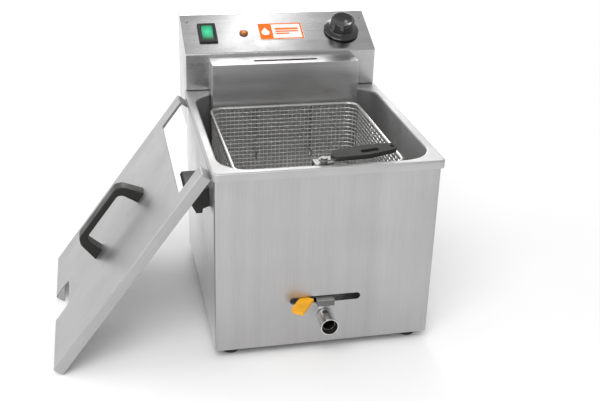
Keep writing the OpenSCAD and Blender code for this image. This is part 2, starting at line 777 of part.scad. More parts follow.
module handle_pivot_pin() color("silver") place() translate([basket_x, pivot_y, 0]) {
    translate([0, 0, bracket_z - 1]) cylinder(r = pivot_r, h = shank_z + 4 - bracket_z);
    translate([0, 0, bracket_z + 1.6]) cylinder(r = 4.5, h = shank_z - bracket_z - 1.8);
    translate([0, 0, shank_z + 2.2]) cylinder(r = 4.5, h = 1.6);
}

module handle_posed() {
    translate([basket_x, pivot_y, shank_z]) rotate([0, 0, handle_turn]) children();
}

// flat steel shank with the pivot eye
module handle_shank() color("silver") place() handle_posed() difference() {
    linear_extrude(2) {
        circle(7);
        translate([0, -6]) square([46, 12]);
    }
    translate([0, 0, -1]) cylinder(r = pivot_r + 0.05, h = 5);
}

module basket_grip() color(black) place() handle_posed() difference() {
    translate([0, 0, -2.3]) linear_extrude(10.5) {
        hull() {
            translate([18, 0]) circle(8);
            translate([62, 0]) circle(11);
        }
        hull() {
            translate([62, 0]) circle(11);
            translate([98, 0]) circle(7);
        }
    }
    translate([9, -6, 0]) cube([37, 12, 2]);
    translate([64, -3, -4]) linear_extrude(20) slot2d(26, 6);
    translate([98, 0, -4]) cylinder(r = 2.6, h = 20);
}

// ---------------------------------------------------------------- lid

module lid_tray() color(steel) place() lid_place() difference() {
    translate([0, 0, -lid_flange]) difference() {
        linear_extrude(lid_flange) translate([-lid_w / 2, 0]) round_rect(0, 0, lid_w, lid_l, 4);
        translate([0, 0, -1]) linear_extrude(lid_flange + 1 - sheet) translate([-lid_w / 2, 0])
            round_rect(sheet, sheet, lid_w - sheet, lid_l - sheet, 3);
    }
    // cut-out that clears the element cover
    translate([cutout_x, lid_l - cutout_d / 2 + 5, 0])
        cube([cutout_w, cutout_d + 10, 60], center = true);
    // notch for the basket handle
    translate([0, 0, -30]) linear_extrude(60) {
        translate([-notch_w / 2, -5]) square([notch_w, notch_d]);
        translate([-notch_w / 2 + 5, 0]) square([notch_w - 10, notch_d]);
    }
    for (y = handle_feet) translate([0, y, -5]) cylinder(r = 2.6, h = 10);
}

// bridge handle standing on the face along the lid's length
module lid_handle() color(black) place() lid_place() translate([0, handle_y, 0])
    rotate([90, 0, 90]) translate([0, 0, -handle_w / 2]) linear_extrude(handle_w) difference() {
        polygon([[-handle_l / 2, 0], [-handle_l / 2 + 8, handle_h - 8], [-handle_l / 2 + 16, handle_h],
                 [handle_l / 2 - 16, handle_h], [handle_l / 2 - 8, handle_h - 8],
                 [handle_l / 2, 0]]);
        polygon([[-handle_l / 2 + 17, -1], [-handle_l / 2 + 19, handle_h - 14],
                 [-handle_l / 2 + 24, handle_h - 9], [handle_l / 2 - 24, handle_h - 9],
                 [handle_l / 2 - 19, handle_h - 14], [handle_l / 2 - 17, -1]]);
    }

module lid_screws() color("silver") place() lid_place()
    for (y = handle_feet) translate([0, y, -sheet - 2.4]) {
        cylinder(r = 4.5, h = 2.4);
        cylinder(r = 2.5, h = 2.4 + sheet);
    }

tank();
front_panel();
side_panel_left();
side_panel_right();
back_panel();
base_plate();
rubber_feet();
foot_screws();
side_grip();
grip_screws();
head_lugs();
drain_elbow();
valve_body();
seat_rings();
gland_nut();
spout_locknut();
drain_spout();
lever_guard();
valve_ball();
valve_stem();
tap_lever();
lever_sleeve();
lever_nut();
head_casing();
head_back_cover();
cover_screws();
element_cover();
heating_element();
element_flange();
element_glands();
bulb_sensor();
thermostat();
safety_cutout();
terminal_block();
interlock_switch();
switch_housing();
pilot_lamp_bezel();
pilot_lamp_lens();
label_plate();
cable_gland();
switch_rocker();
thermostat_knob();
knob_pointer();
thermostat_shaft();
reset_button();
basket_rim();
basket_mesh();
basket_skids();
basket_hook();
handle_bracket();
handle_pivot_pin();
basket_grip();
handle_shank();
lid_tray();
lid_handle();
lid_screws();
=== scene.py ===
import math

import bmesh
import bpy
from mathutils import Matrix, Vector


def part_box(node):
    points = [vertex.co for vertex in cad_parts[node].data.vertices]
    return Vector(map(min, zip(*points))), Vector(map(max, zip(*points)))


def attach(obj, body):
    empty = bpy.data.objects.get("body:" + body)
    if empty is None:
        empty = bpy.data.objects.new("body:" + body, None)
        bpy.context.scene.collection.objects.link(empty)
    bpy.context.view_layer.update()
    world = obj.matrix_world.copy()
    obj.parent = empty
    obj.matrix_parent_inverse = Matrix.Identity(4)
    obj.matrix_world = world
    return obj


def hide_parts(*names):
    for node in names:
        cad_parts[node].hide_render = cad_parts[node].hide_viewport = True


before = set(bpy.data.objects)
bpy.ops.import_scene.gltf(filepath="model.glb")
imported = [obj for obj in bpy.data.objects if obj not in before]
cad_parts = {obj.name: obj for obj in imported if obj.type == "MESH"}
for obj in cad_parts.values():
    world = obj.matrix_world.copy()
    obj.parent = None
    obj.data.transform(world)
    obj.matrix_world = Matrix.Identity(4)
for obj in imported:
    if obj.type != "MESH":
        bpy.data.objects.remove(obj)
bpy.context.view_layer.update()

bl_info = {
    "name": "Deep Fryer",
    "version": (1, 0, 0),
    "blender": (4, 5, 0),
    "location": "View3D > Sidebar > Fryer",
    "description": "Builds a countertop deep fryer with its tank, head, basket, tap and lid",
    "category": "Object",
}

# ------------------------------------------------------------------ frames
# Pieces are drawn in millimetres. The cabinet frame has X = 0 in the middle of
# the cabinet, Y = 0 on its front panel and Z = 0 on the worktop.

PANEL_LO, PANEL_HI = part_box("front_panel")
SPOT = Matrix.Translation(((PANEL_LO.x + PANEL_HI.x) / 2, PANEL_LO.y, 0))
CABINET = SPOT @ Matrix.Scale(0.001, 4)


def move(x, y, z):
    """A shift, as a matrix."""
    return Matrix.Translation((x, y, z))


def turn(degrees, axis):
    """A turn about an axis, as a matrix."""
    return Matrix.Rotation(math.radians(degrees), 4, axis)


def size(node):
    """Lowest and highest corner of a CAD node, in cabinet millimetres."""
    lo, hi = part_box(node)
    back = CABINET.inverted()
    return back @ lo, back @ hi


RIM_LO, RIM_HI = size("tank")
HEAD_LO, HEAD_HI = size("head_casing")
BASKET_LO, BASKET_HI = size("basket_rim")
LID_LO, LID_HI = size("lid_tray")
SPOUT_LO, SPOUT_HI = size("drain_spout")

# Thickness of the sheets, and the gap between the head's sheet and what sits on it.
SHEET = 1.0
LIFT = 0.05

# The head's sloped panel, and where its fittings sit: across it, and up it from its lower edge.
SLOPE_LOW = 334.0
SLOPE_RUN = 86.0
SLOPE_ANGLE = math.atan2(HEAD_HI.z - SLOPE_LOW, SLOPE_RUN)
SWITCH_SPOT = (-111, 48)
LAMP_SPOT = (-54, 46)
LABEL_SPOT = (6, 48.5)
KNOB_SPOT = (104, 45)

# The lid leans on the cabinet's left side; the angle is measured from the worktop.
LID_LEAN = 53.3
LID_FLANGE = 14.0
LID_WIDTH = 310.0
LID_LENGTH = 333.0


def on_slope(x, s, z=0.0):
    """Frame of a fitting on the sloped panel: x across, s up the slope, z out of it."""
    y = HEAD_LO.y + s * math.cos(SLOPE_ANGLE) - z * math.sin(SLOPE_ANGLE)
    up = SLOPE_LOW + s * math.sin(SLOPE_ANGLE) + z * math.cos(SLOPE_ANGLE)
    return CABINET @ move(x, y, up) @ Matrix.Rotation(SLOPE_ANGLE, 4, "X")


LID_TURN = turn(-LID_LEAN, "Y") @ turn(-90, "Z")
LID_FOOT = move(LID_LO.x, (LID_LO.y + LID_HI.y) / 2, LID_FLANGE * math.cos(math.radians(LID_LEAN)))
LID = CABINET @ LID_FOOT @ LID_TURN

# The tap lever turns about its stem, and the basket's grip about its upright pin.
LEVER = CABINET @ move(0, 30, 81.7) @ turn(-40, "Z")
HANDLE = CABINET @ move(-7, 11, 279) @ turn(11, "Z")

# ------------------------------------------------------------------ mesh tools


def arc(cx, cy, r, start, end, steps):
    """Points of an arc, both ends included, with the angles in degrees."""
    angles = [math.radians(start + (end - start) * i / steps) for i in range(steps + 1)]
    return [(cx + r * math.cos(a), cy + r * math.sin(a)) for a in angles]


def rounded(x0, y0, x1, y1, r, steps=8):
    """Outline of a rectangle with round corners, anticlockwise."""
    return (
        arc(x1 - r, y0 + r, r, -90, 0, steps)
        + arc(x1 - r, y1 - r, r, 0, 90, steps)
        + arc(x0 + r, y1 - r, r, 90, 180, steps)
        + arc(x0 + r, y0 + r, r, 180, 270, steps)
    )


def loop(bm, outline, z=0.0):
    """A closed loop of edges through the outline's points at height z."""
    verts = [bm.verts.new((p[0], p[1], p[2] if len(p) > 2 else z)) for p in outline]
    return [bm.edges.new((verts[i - 1], verts[i])) for i in range(len(verts))]


def loft(bm, loops):
    """Bridges each loop of edges to the next."""
    for a, b in zip(loops, loops[1:]):
        bmesh.ops.bridge_loops(bm, edges=a + b)


def push(bm, geom, step):
    """Moves the vertices of a piece of geometry."""
    verts = [v for v in geom if isinstance(v, bmesh.types.BMVert)]
    bmesh.ops.translate(bm, verts=verts, vec=step)


def plate(bm, outlines, thickness, z=0.0):
    """A flat plate: the first outline is its edge, the others are holes."""
    edges = [e for outline in outlines for e in loop(bm, outline, z)]
    faces = bmesh.ops.triangle_fill(bm, use_beauty=True, edges=edges)["geom"]
    faces = [f for f in faces if isinstance(f, bmesh.types.BMFace)]
    push(bm, bmesh.ops.extrude_face_region(bm, geom=faces)["geom"], (0, 0, thickness))
    bmesh.ops.recalc_face_normals(bm, faces=bm.faces)


def prism(bm, points, width):
    """A solid swept along X from the flat face through the points."""
    face = bm.faces.new([bm.verts.new(point) for point in points])
    push(bm, bmesh.ops.extrude_face_region(bm, geom=[face])["geom"], (width, 0, 0))
    bmesh.ops.recalc_face_normals(bm, faces=bm.faces)


def face_up(bm, face):
    """Turns the mesh's faces over if this face of it looks down."""
    if face.normal.z < 0:
        bmesh.ops.reverse_faces(bm, faces=bm.faces)


def spread(lo, hi, pitch):
    """Even steps from lo to hi, about a pitch apart."""
    count = round((hi - lo) / pitch)
    return [lo + (hi - lo) * i / count for i in range(count + 1)]


def soften(bm, width, segments=3, angle=30, keep=None):
    """Bevels every edge sharper than the angle, or those of them that keep() accepts."""
    bm.normal_update()
    paired = [e for e in bm.edges if len(e.link_faces) == 2]
    sharp = [e for e in paired if e.calc_face_angle() > math.radians(angle)]
    if keep:
        sharp = [e for e in sharp if keep(e)]
    bmesh.ops.bevel(
        bm, geom=sharp, offset=width, segments=segments, profile=0.5, affect="EDGES",
        clamp_overlap=True, material=-1,
    )


def turned(bm, profile, steps=64):
    """A solid of revolution about Z from (radius, height) points."""
    verts = [bm.verts.new((r, 0, z)) for r, z in profile]
    edges = [bm.edges.new(pair) for pair in zip(verts, verts[1:])]
    bmesh.ops.spin(
        bm, geom=verts + edges, axis=(0, 0, 1), cent=(0, 0, 0), steps=steps, angle=math.tau,
        use_merge=True,
    )
    bmesh.ops.remove_doubles(bm, verts=bm.verts, dist=0.0005)
    bmesh.ops.recalc_face_normals(bm, faces=bm.faces)


def wires(paths, radius, sides=6):
    """Round wires along the paths; a path is a list of points and whether it closes."""
    curve = bpy.data.curves.new("wires", "CURVE")
    curve.dimensions = "3D"
    curve.bevel_depth = radius
    curve.bevel_resolution = (sides - 4) // 2
    curve.use_fill_caps = True
    for points, closed in paths:
        spline = curve.splines.new("POLY")
        spline.points.add(len(points) - 1)
        for point, place in zip(spline.points, points):
            point.co = (*place, 1)
        spline.use_cyclic_u = closed
    holder = bpy.data.objects.new("wires", curve)
    mesh = bpy.data.meshes.new_from_object(holder)
    bm = bmesh.new()
    bm.from_mesh(mesh)
    bpy.data.objects.remove(holder)
    bpy.data.curves.remove(curve)
    bpy.data.meshes.remove(mesh)
    return bm


def piece(name, bm, body, slot, stands_for, finish=None, place=CABINET, angle=40, wall=0.0):
    """Finishes a mesh: places it, smooths it, and makes it ride on its body."""
    bm.transform(place)
    mesh = bpy.data.meshes.new(name)
    bm.to_mesh(mesh)
    bm.free()
    mesh.polygons.foreach_set("use_smooth", [True] * len(mesh.polygons))
    mesh.set_sharp_from_angle(angle=math.radians(angle))
    mesh.materials.append(FINISH[finish or slot])
    obj = bpy.data.objects.new(name, mesh)
    bpy.context.scene.collection.objects.link(obj)
    if wall:
        solid = obj.modifiers.new("Sheet", "SOLIDIFY")
        solid.thickness = wall * 0.001
        solid.offset = -1
        solid.use_even_offset = True
    flat = obj.modifiers.new("Flat faces", "WEIGHTED_NORMAL")
    flat.keep_sharp = True
    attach(obj, body)
    if stands_for:
        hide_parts(*stands_for)
    return obj


def dress(node, finish, width=0.0, segments=2):
    """Gives a CAD node its material and, where wanted, softens its edges."""
    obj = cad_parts[node]
    for slot in obj.material_slots:
        slot.material = FINISH[finish]
    if width:
        weld = obj.modifiers.new("Weld", "WELD")
        weld.merge_threshold = 1e-5
        bevel = obj.modifiers.new("Soft edges", "BEVEL")
        bevel.width = width * 0.001
        bevel.segments = segments
        bevel.limit_method = "ANGLE"
        bevel.angle_limit = math.radians(35)
        bevel.use_clamp_overlap = True
        flat = obj.modifiers.new("Flat faces", "WEIGHTED_NORMAL")
        flat.keep_sharp = True


# ------------------------------------------------------------------ shared effects


def effect(name, inputs, outputs):
    """An empty node group with named inputs, and outputs that are all plain values."""
    group = bpy.data.node_groups.new(name, "ShaderNodeTree")
    kinds = {"float": "NodeSocketFloat", "vector": "NodeSocketVector"}
    for label, kind, default in inputs:
        socket = group.interface.new_socket(name=label, in_out="INPUT", socket_type=kinds[kind])
        if default is not None:
            socket.default_value = default
    for label in outputs:
        group.interface.new_socket(name=label, in_out="OUTPUT", socket_type=kinds["float"])
    return group, group.nodes.new("NodeGroupInput"), group.nodes.new("NodeGroupOutput")


def noise(tree, vector, scale, detail=3.0, roughness=0.5):
    """A noise texture; scale is a number or a socket."""
    node = tree.nodes.new("ShaderNodeTexNoise")
    node.inputs["Detail"].default_value = detail
    node.inputs["Roughness"].default_value = roughness
    if isinstance(scale, (int, float)):
        node.inputs["Scale"].default_value = scale
    else:
        tree.links.new(scale, node.inputs["Scale"])
    tree.links.new(vector, node.inputs["Vector"])
    return node.outputs["Fac"]


def remap(tree, value, from_lo, from_hi, to_lo, to_hi):
    """Maps a value from one range onto another, clamped."""
    node = tree.nodes.new("ShaderNodeMapRange")
    for label, number in zip(
        ("From Min", "From Max", "To Min", "To Max"), (from_lo, from_hi, to_lo, to_hi)
    ):
        node.inputs[label].default_value = number
    tree.links.new(value, node.inputs["Value"])
    return node.outputs["Result"]


def maths(tree, operation, a, b):
    """A maths node; each operand is a number or a socket."""
    node = tree.nodes.new("ShaderNodeMath")
    node.operation = operation
    for socket, operand in zip(node.inputs, (a, b)):
        if isinstance(operand, (int, float)):
            socket.default_value = operand
        else:
            tree.links.new(operand, socket)
    return node.outputs["Value"]


def times(tone, factor):
    """A colour made lighter or darker."""
    return tuple(min(1.0, c * factor) for c in tone)


def blend_colours(tree, factor, a, b):
    """Mixes two colours; each is three numbers or a socket."""
    node = tree.nodes.new("ShaderNodeMix")
    node.data_type = "RGBA"
    for socket, colour in ((node.inputs[6], a), (node.inputs[7], b)):
        if isinstance(colour, (tuple, list)):
            socket.default_value = (*colour, 1)
        else:
            tree.links.new(colour, socket)
    tree.links.new(factor, node.inputs[0])
    return node.outputs[2]


def make_brushing():
    """Fine parallel scratches with wide, soft bands; the vector comes in already stretched."""
    group, ins, outs = effect(
        "Brushing",
        [("Vector", "vector", None), ("Fineness", "float", 900.0), ("Bands", "float", 45.0)],
        ["Shade", "Scratches"],
    )
    fine = noise(group, ins.outputs["Vector"], ins.outputs["Fineness"], 4.0, 0.65)
    wide = noise(group, ins.outputs["Vector"], ins.outputs["Bands"], 2.0, 0.5)
    fine_part = maths(group, "MULTIPLY", fine, 0.55)
    both = maths(group, "ADD", fine_part, maths(group, "MULTIPLY", wide, 0.45))
    group.links.new(remap(group, both, 0.3, 0.7, 0.0, 1.0), outs.inputs["Shade"])
    group.links.new(fine, outs.inputs["Scratches"])
    return group


def make_smudges():
    """Faint cloudy handling marks."""
    group, ins, outs = effect(
        "Smudges",
        [("Vector", "vector", None), ("Size", "float", 14.0)],
        ["Film"],
    )
    cloud = noise(group, ins.outputs["Vector"], ins.outputs["Size"], 5.0, 0.6)
    group.links.new(remap(group, cloud, 0.42, 0.68, 0.0, 1.0), outs.inputs["Film"])
    return group


def make_moulding():
    """The fine orange peel and flow marks of moulded plastic and rubber."""
    group, ins, outs = effect(
        "Moulding",
        [("Vector", "vector", None), ("Grain", "float", 1800.0), ("Flow", "float", 60.0)],
        ["Height", "Patch"],
    )
    grain = noise(group, ins.outputs["Vector"], ins.outputs["Grain"], 2.0, 0.6)
    flow = noise(group, ins.outputs["Vector"], ins.outputs["Flow"], 3.0, 0.5)
    group.links.new(grain, outs.inputs["Height"])
    group.links.new(remap(group, flow, 0.3, 0.7, 0.0, 1.0), outs.inputs["Patch"])
    return group


def make_edge_highlight():
    """A painted highlight: white where the surface turns sharply, so that edges come out bright, broken up
    by noise.
    """
    group, ins, outs = effect(
        "Painted Edge Highlight",
        [("Vector", "vector", None), ("Width", "float", 0.001)],
        ["Mask"],
    )
    round_edge = group.nodes.new("ShaderNodeBevel")
    round_edge.samples = 4
    group.links.new(ins.outputs["Width"], round_edge.inputs["Radius"])
    shape = group.nodes.new("ShaderNodeNewGeometry")
    turn = group.nodes.new("ShaderNodeVectorMath")
    turn.operation = "DOT_PRODUCT"
    group.links.new(round_edge.outputs["Normal"], turn.inputs[0])
    group.links.new(shape.outputs["Normal"], turn.inputs[1])
    bent = remap(group, turn.outputs["Value"], 0.99, 0.86, 0.0, 1.0)
    broken = noise(group, ins.outputs["Vector"], 320.0, 3.0, 0.6)
    # painted highlight: the edge mask, broken up by noise
    wear_and_highlight_mask = maths(group, "MULTIPLY", bent, remap(group, broken, 0.35, 0.6, 0.15, 1.0))
    group.links.new(wear_and_highlight_mask, outs.inputs["Mask"])
    return group


EFFECTS = {}


def use(tree, name, vector, **values):
    """Places a shared effect in a material with its own values."""
    node = tree.nodes.new("ShaderNodeGroup")
    node.node_tree = EFFECTS[name]
    tree.links.new(vector, node.inputs["Vector"])
    for label, value in values.items():
        node.inputs[label].default_value = value
    return node.outputs


# ------------------------------------------------------------------ finishes


def start(name, metallic, **constants):
    """A new material; gives its tree, its shader and Object coordinates."""
    material = bpy.data.materials.new(name)
    material.use_nodes = True
    tree = material.node_tree
    shader = tree.nodes["Principled BSDF"]
    shader.inputs["Metallic"].default_value = metallic
    for label, value in constants.items():
        shader.inputs[label.replace("_", " ")].default_value = value
    where = tree.nodes.new("ShaderNodeTexCoord").outputs["Object"]
    return material, tree, shader, where


def stretched(tree, vector, stretch, lie=None):
    """Draws a pattern out along an axis of a frame that may lie at an angle."""
    node = tree.nodes.new("ShaderNodeMapping")
    node.vector_type = "TEXTURE"
    node.inputs["Scale"].default_value = stretch
    if lie:
        node.inputs["Rotation"].default_value = lie
    tree.links.new(vector, node.inputs["Vector"])
    return node.outputs["Vector"]


def bump(tree, shader, height, strength, distance):
    """Feeds a height to the shader's normal."""
    node = tree.nodes.new("ShaderNodeBump")
    node.inputs["Strength"].default_value = strength
    node.inputs["Distance"].default_value = distance
    tree.links.new(height, node.inputs["Height"])
    tree.links.new(node.outputs["Normal"], shader.inputs["Normal"])


def steel(name, tone, stretch, rough=(0.26, 0.4), lie=None, contrast=0.12, film=0.1, wear=0.25):
    """Brushed stainless sheet: scratches along the stretch, bands, film, and a painted highlight that
    brightens its edges.
    """
    material, tree, shader, where = start(name, 1.0)
    grain = use(tree, "Brushing", stretched(tree, where, stretch, lie))
    marks = use(tree, "Smudges", where)
    edges = use(tree, "Painted Edge Highlight", where, Width=0.0012)
    colour = blend_colours(tree, grain["Shade"], times(tone, 1 - contrast), times(tone, 1 + contrast))
    filmed = maths(tree, "MULTIPLY", marks["Film"], film * 2)
    colour = blend_colours(tree, filmed, colour, times(tone, 0.86))
    # painted highlight: the edges are blended towards a paler tone
    edge_highlight = maths(tree, "MULTIPLY", edges["Mask"], wear)
    colour = blend_colours(tree, edge_highlight, colour, times(tone, 1.3))
    tree.links.new(colour, shader.inputs["Base Color"])
    scratched = remap(tree, grain["Shade"], 0.0, 1.0, *rough)
    dulled = maths(tree, "ADD", scratched, maths(tree, "MULTIPLY", marks["Film"], film))
    tree.links.new(dulled, shader.inputs["Roughness"])
    bump(tree, shader, grain["Scratches"], 0.2, 0.00002)
    return material


def bright_metal(name, tone, rough=(0.07, 0.16), wear=0.0):
    """Plated or drawn metal: smooth, with a faint haze and, where asked for, darker patches from use."""
    material, tree, shader, where = start(name, 1.0)
    marks = use(tree, "Smudges", where, Size=40.0)
    moulded = use(tree, "Moulding", where, Grain=700.0, Flow=120.0)
    colour = blend_colours(tree, marks["Film"], tone, times(tone, 0.8))
    if wear:
        wear_and_highlight_mask = maths(tree, "MULTIPLY", moulded["Patch"], wear)
        colour = blend_colours(tree, wear_and_highlight_mask, colour, times(tone, 0.45))
    tree.links.new(colour, shader.inputs["Base Color"])
    tree.links.new(remap(tree, marks["Film"], 0, 1, *rough), shader.inputs["Roughness"])
    bump(tree, shader, moulded["Height"], 0.12, 0.00002)
    return material


def plastic(name, tone, rough=(0.32, 0.5), grain=1800.0, depth=0.00004, lift=1.8, **constants):
    """Moulded plastic or rubber: orange peel, flow patches and a painted highlight that makes its edges
    paler.
    """
    material, tree, shader, where = start(name, 0.0, **constants)
    skin = use(tree, "Moulding", where, Grain=grain)
    marks = use(tree, "Smudges", where, Size=22.0)
    edges = use(tree, "Painted Edge Highlight", where, Width=0.0009)
    colour = blend_colours(tree, skin["Patch"], times(tone, 0.85), times(tone, 1.15))
    # painted highlight: the edges are blended towards this paler tone, set by lift
    pale = tuple(min(1.0, c * lift + 0.01) for c in tone)
    colour = blend_colours(tree, maths(tree, "MULTIPLY", edges["Mask"], 0.5), colour, pale)
    tree.links.new(colour, shader.inputs["Base Color"])
    patchy = remap(tree, skin["Patch"], 0, 1, *rough)
    dulled = maths(tree, "ADD", patchy, maths(tree, "MULTIPLY", marks["Film"], 0.08))
    tree.links.new(dulled, shader.inputs["Roughness"])
    bump(tree, shader, skin["Height"], 0.3, depth)
    return material


def guard_grey_with_lit_top(name, shaded_lip_tone, lit_top_tone):
    """The guard's grey, with painted light: its flat top is painted paler than the lip below it, as if lit
    from above, and has faint paler patches.
    """
    material, tree, shader, where = start(name, 0.0)
    skin = use(tree, "Moulding", where, Grain=900.0)
    parts = tree.nodes.new("ShaderNodeSeparateXYZ")
    tree.links.new(where, parts.inputs["Vector"])
    guard_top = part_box("lever_guard")[1].z
    # painted light: the top face gets the lit tone and the lip the shaded one, switched by height
    top = remap(tree, parts.outputs["Z"], guard_top - 0.0011, guard_top - 0.0003, 0.0, 1.0)
    colour = blend_colours(tree, top, shaded_lip_tone, lit_top_tone)
    scuffed = maths(tree, "MULTIPLY", skin["Patch"], 0.25)
    colour = blend_colours(tree, scuffed, colour, times(lit_top_tone, 1.3))
    tree.links.new(colour, shader.inputs["Base Color"])
    tree.links.new(remap(tree, skin["Patch"], 0, 1, 0.45, 0.6), shader.inputs["Roughness"])
    bump(tree, shader, skin["Height"], 0.3, 0.00004)
    return material


def lit_plastic(name, tone, glow, strength, rough, centre, reach):
    """Translucent plastic lit from behind, brightest round its centre."""
    material, tree, shader, where = start(name, 0.0)
    skin = use(tree, "Moulding", where, Grain=900.0, Flow=220.0)
    away = tree.nodes.new("ShaderNodeVectorMath")
    away.operation = "DISTANCE"
    tree.links.new(where, away.inputs[0])
    away.inputs[1].default_value = centre
    near = remap(tree, away.outputs["Value"], 0.0, reach, 1.0, 0.0)
    tree.links.new(blend_colours(tree, near, times(tone, 0.35), tone), shader.inputs["Base Color"])
    lit = maths(tree, "MULTIPLY", near, remap(tree, skin["Patch"], 0, 1, 0.8, 1.0))
    tree.links.new(blend_colours(tree, lit, (0, 0, 0), glow), shader.inputs["Emission Color"])
    shader.inputs["Emission Strength"].default_value = strength
    tree.links.new(remap(tree, skin["Patch"], 0, 1, *rough), shader.inputs["Roughness"])
    bump(tree, shader, skin["Height"], 0.15, 0.00002)
    return material


FINISH = {}

# How far the brushing is drawn out along X, Y and Z.
UPRIGHT = (1.0, 1.0, 60.0)
ACROSS = (60.0, 1.0, 1.0)
ALONG = (1.0, 60.0, 1.0)
EVEN = (1, 1, 1)


def finish(maker, name, *values, **options):
    """Makes one finish and keeps it under its name."""
    FINISH[name] = maker(name, *values, **options)


def sheet_finishes(sheet):
    """The stainless sheets, which differ in tone, in gloss and in how their brushing runs; the side sheets'
    much lighter tone is painted light, making up for the shade they reflect.
    """
    finish(steel, "brushed_steel", sheet, UPRIGHT)
    finish(steel, "head_steel", sheet, ACROSS, rough=(0.16, 0.25))
    # painted light: the side panels are painted lighter to make up for the shaded floor they reflect
    finish(steel, "side_steel", times(sheet, 1.55), UPRIGHT, rough=(0.3, 0.44))
    finish(steel, "back_steel", times(sheet, 0.8), UPRIGHT, rough=(0.3, 0.44))
    finish(steel, "tank_steel", times(sheet, 1.1), EVEN, rough=(0.38, 0.52), contrast=0.05)
    finish(steel, "cover_steel", times(sheet, 1.22), ACROSS, rough=(0.28, 0.4))
    lid_lie = LID_TURN.to_euler()
    finish(steel, "lid_steel", times(sheet, 0.95), ALONG, rough=(0.34, 0.46), lie=lid_lie)
    finish(steel, "plate_steel", times(sheet, 0.8), ACROSS, contrast=0.18)


def metal_finishes():
    """Plated parts, wires, screws and the heating element."""
    finish(bright_metal, "bright_chrome", (0.8, 0.8, 0.81), rough=(0.2, 0.28))
    finish(bright_metal, "screw_steel", (0.42, 0.42, 0.41), rough=(0.3, 0.42))
    finish(bright_metal, "bracket_steel", (0.3, 0.3, 0.29), rough=(0.34, 0.48), wear=0.2)
    finish(bright_metal, "chrome_wire", (0.5, 0.5, 0.49), rough=(0.26, 0.36))
    finish(bright_metal, "mesh_wire", (0.95, 0.95, 0.93), rough=(0.28, 0.42), wear=0.2)
    finish(bright_metal, "hook_wire", (0.4, 0.4, 0.39), rough=(0.3, 0.45), wear=0.3)
    finish(bright_metal, "element_metal", (0.16, 0.15, 0.14), rough=(0.35, 0.55), wear=0.7)
    finish(bright_metal, "thermostat_metal", (0.6, 0.6, 0.58), rough=(0.25, 0.4))
    # painted light: the guard's lip is painted dark as if in shade and its top pale as if lit from above
    finish(guard_grey_with_lit_top, "guard_grey", (0.085, 0.085, 0.08), (0.26, 0.26, 0.25))


def dark_finishes():
    """Black and dark grey plastics, rubber and a dark matt lining."""
    soft_shine = {"Specular_IOR_Level": 0.4}
    black = (0.012, 0.012, 0.011)
    finish(plastic, "black_plastic", black, rough=(0.36, 0.5), **soft_shine)
    finish(plastic, "grip_grey", (0.034, 0.034, 0.031), rough=(0.34, 0.46), **soft_shine)
    finish(plastic, "switch_black", (0.008, 0.008, 0.008), rough=(0.26, 0.38), **soft_shine)
    gloss = {"depth": 0.00001, "lift": 1.3, "Coat_Weight": 0.6}
    finish(plastic, "knob_black", (0.007, 0.007, 0.007), rough=(0.12, 0.2), **gloss)
    finish(plastic, "rubber", (0.018, 0.018, 0.018), rough=(0.65, 0.85), grain=900.0, depth=0.0001)
    matt = {"lift": 1.2, "Specular_IOR_Level": 0.25}
    finish(plastic, "oil_dark", (0.016, 0.014, 0.011), rough=(0.5, 0.7), **matt)


def bright_finishes(tones):
    """White and coloured plastics, and the label's plate and ink."""
    finish(plastic, "seat_white", (0.72, 0.71, 0.67))
    finish(plastic, "pointer_white", (0.62, 0.62, 0.6))
    finish(plastic, "button_red", (0.42, 0.02, 0.015), rough=(0.2, 0.3))
    finish(plastic, "lamp_frame", (0.2, 0.075, 0.02), rough=(0.2, 0.32))
    finish(plastic, "lever_yellow", tuple(tones.lever), rough=(0.34, 0.46), lift=1.25)
    smooth = {"depth": 0.00001}
    finish(plastic, "label_white", (0.86, 0.85, 0.82), rough=(0.18, 0.28), lift=1.05, **smooth)
    ink = {"lift": 1.1, "Specular_IOR_Level": 0.15, **smooth}
    finish(plastic, "label_orange", tuple(tones.print), rough=(0.45, 0.6), **ink)


def lit_finishes():
    """The rocker and the pilot lamp, which glow from a point inside them."""
    rocker_x, rocker_s = SWITCH_SPOT
    rocker_heart = on_slope(rocker_x, rocker_s + 2, 3).translation
    lamp_heart = on_slope(*LAMP_SPOT, 4).translation
    green, green_glow = (0.02, 0.3, 0.14), (0.1, 0.95, 0.5)
    amber, amber_glow = (0.75, 0.2, 0.02), (1.0, 0.3, 0.05)
    finish(lit_plastic, "rocker_green", green, green_glow, 0.55, (0.14, 0.24), rocker_heart, 0.017)
    finish(lit_plastic, "lamp_amber", amber, amber_glow, 0.35, (0.1, 0.2), lamp_heart, 0.007)


def make_finishes(tones):
    """The shared effects, and then every finish."""
    EFFECTS["Brushing"] = make_brushing()
    EFFECTS["Smudges"] = make_smudges()
    EFFECTS["Moulding"] = make_moulding()
    # the painted edge highlight that the steel and plastic finishes use
    EFFECTS["Painted Edge Highlight"] = make_edge_highlight()
    sheet_finishes(tuple(tones.sheet))
    metal_finishes()
    dark_finishes()
    bright_finishes(tones)
    lit_finishes()


# ------------------------------------------------------------------ sizes and colours


def length(name, description, default, low, high):
    """A size in millimetres for the sidebar."""
    return bpy.props.FloatProperty(
        name=name, description=description + ", mm", default=default, min=low, max=high
    )


def colour(name, description, default):
    """A colour for the sidebar."""
    return bpy.props.FloatVectorProperty(
        name=name, description=description, subtype="COLOR", size=3, min=0, max=1, default=default
    )


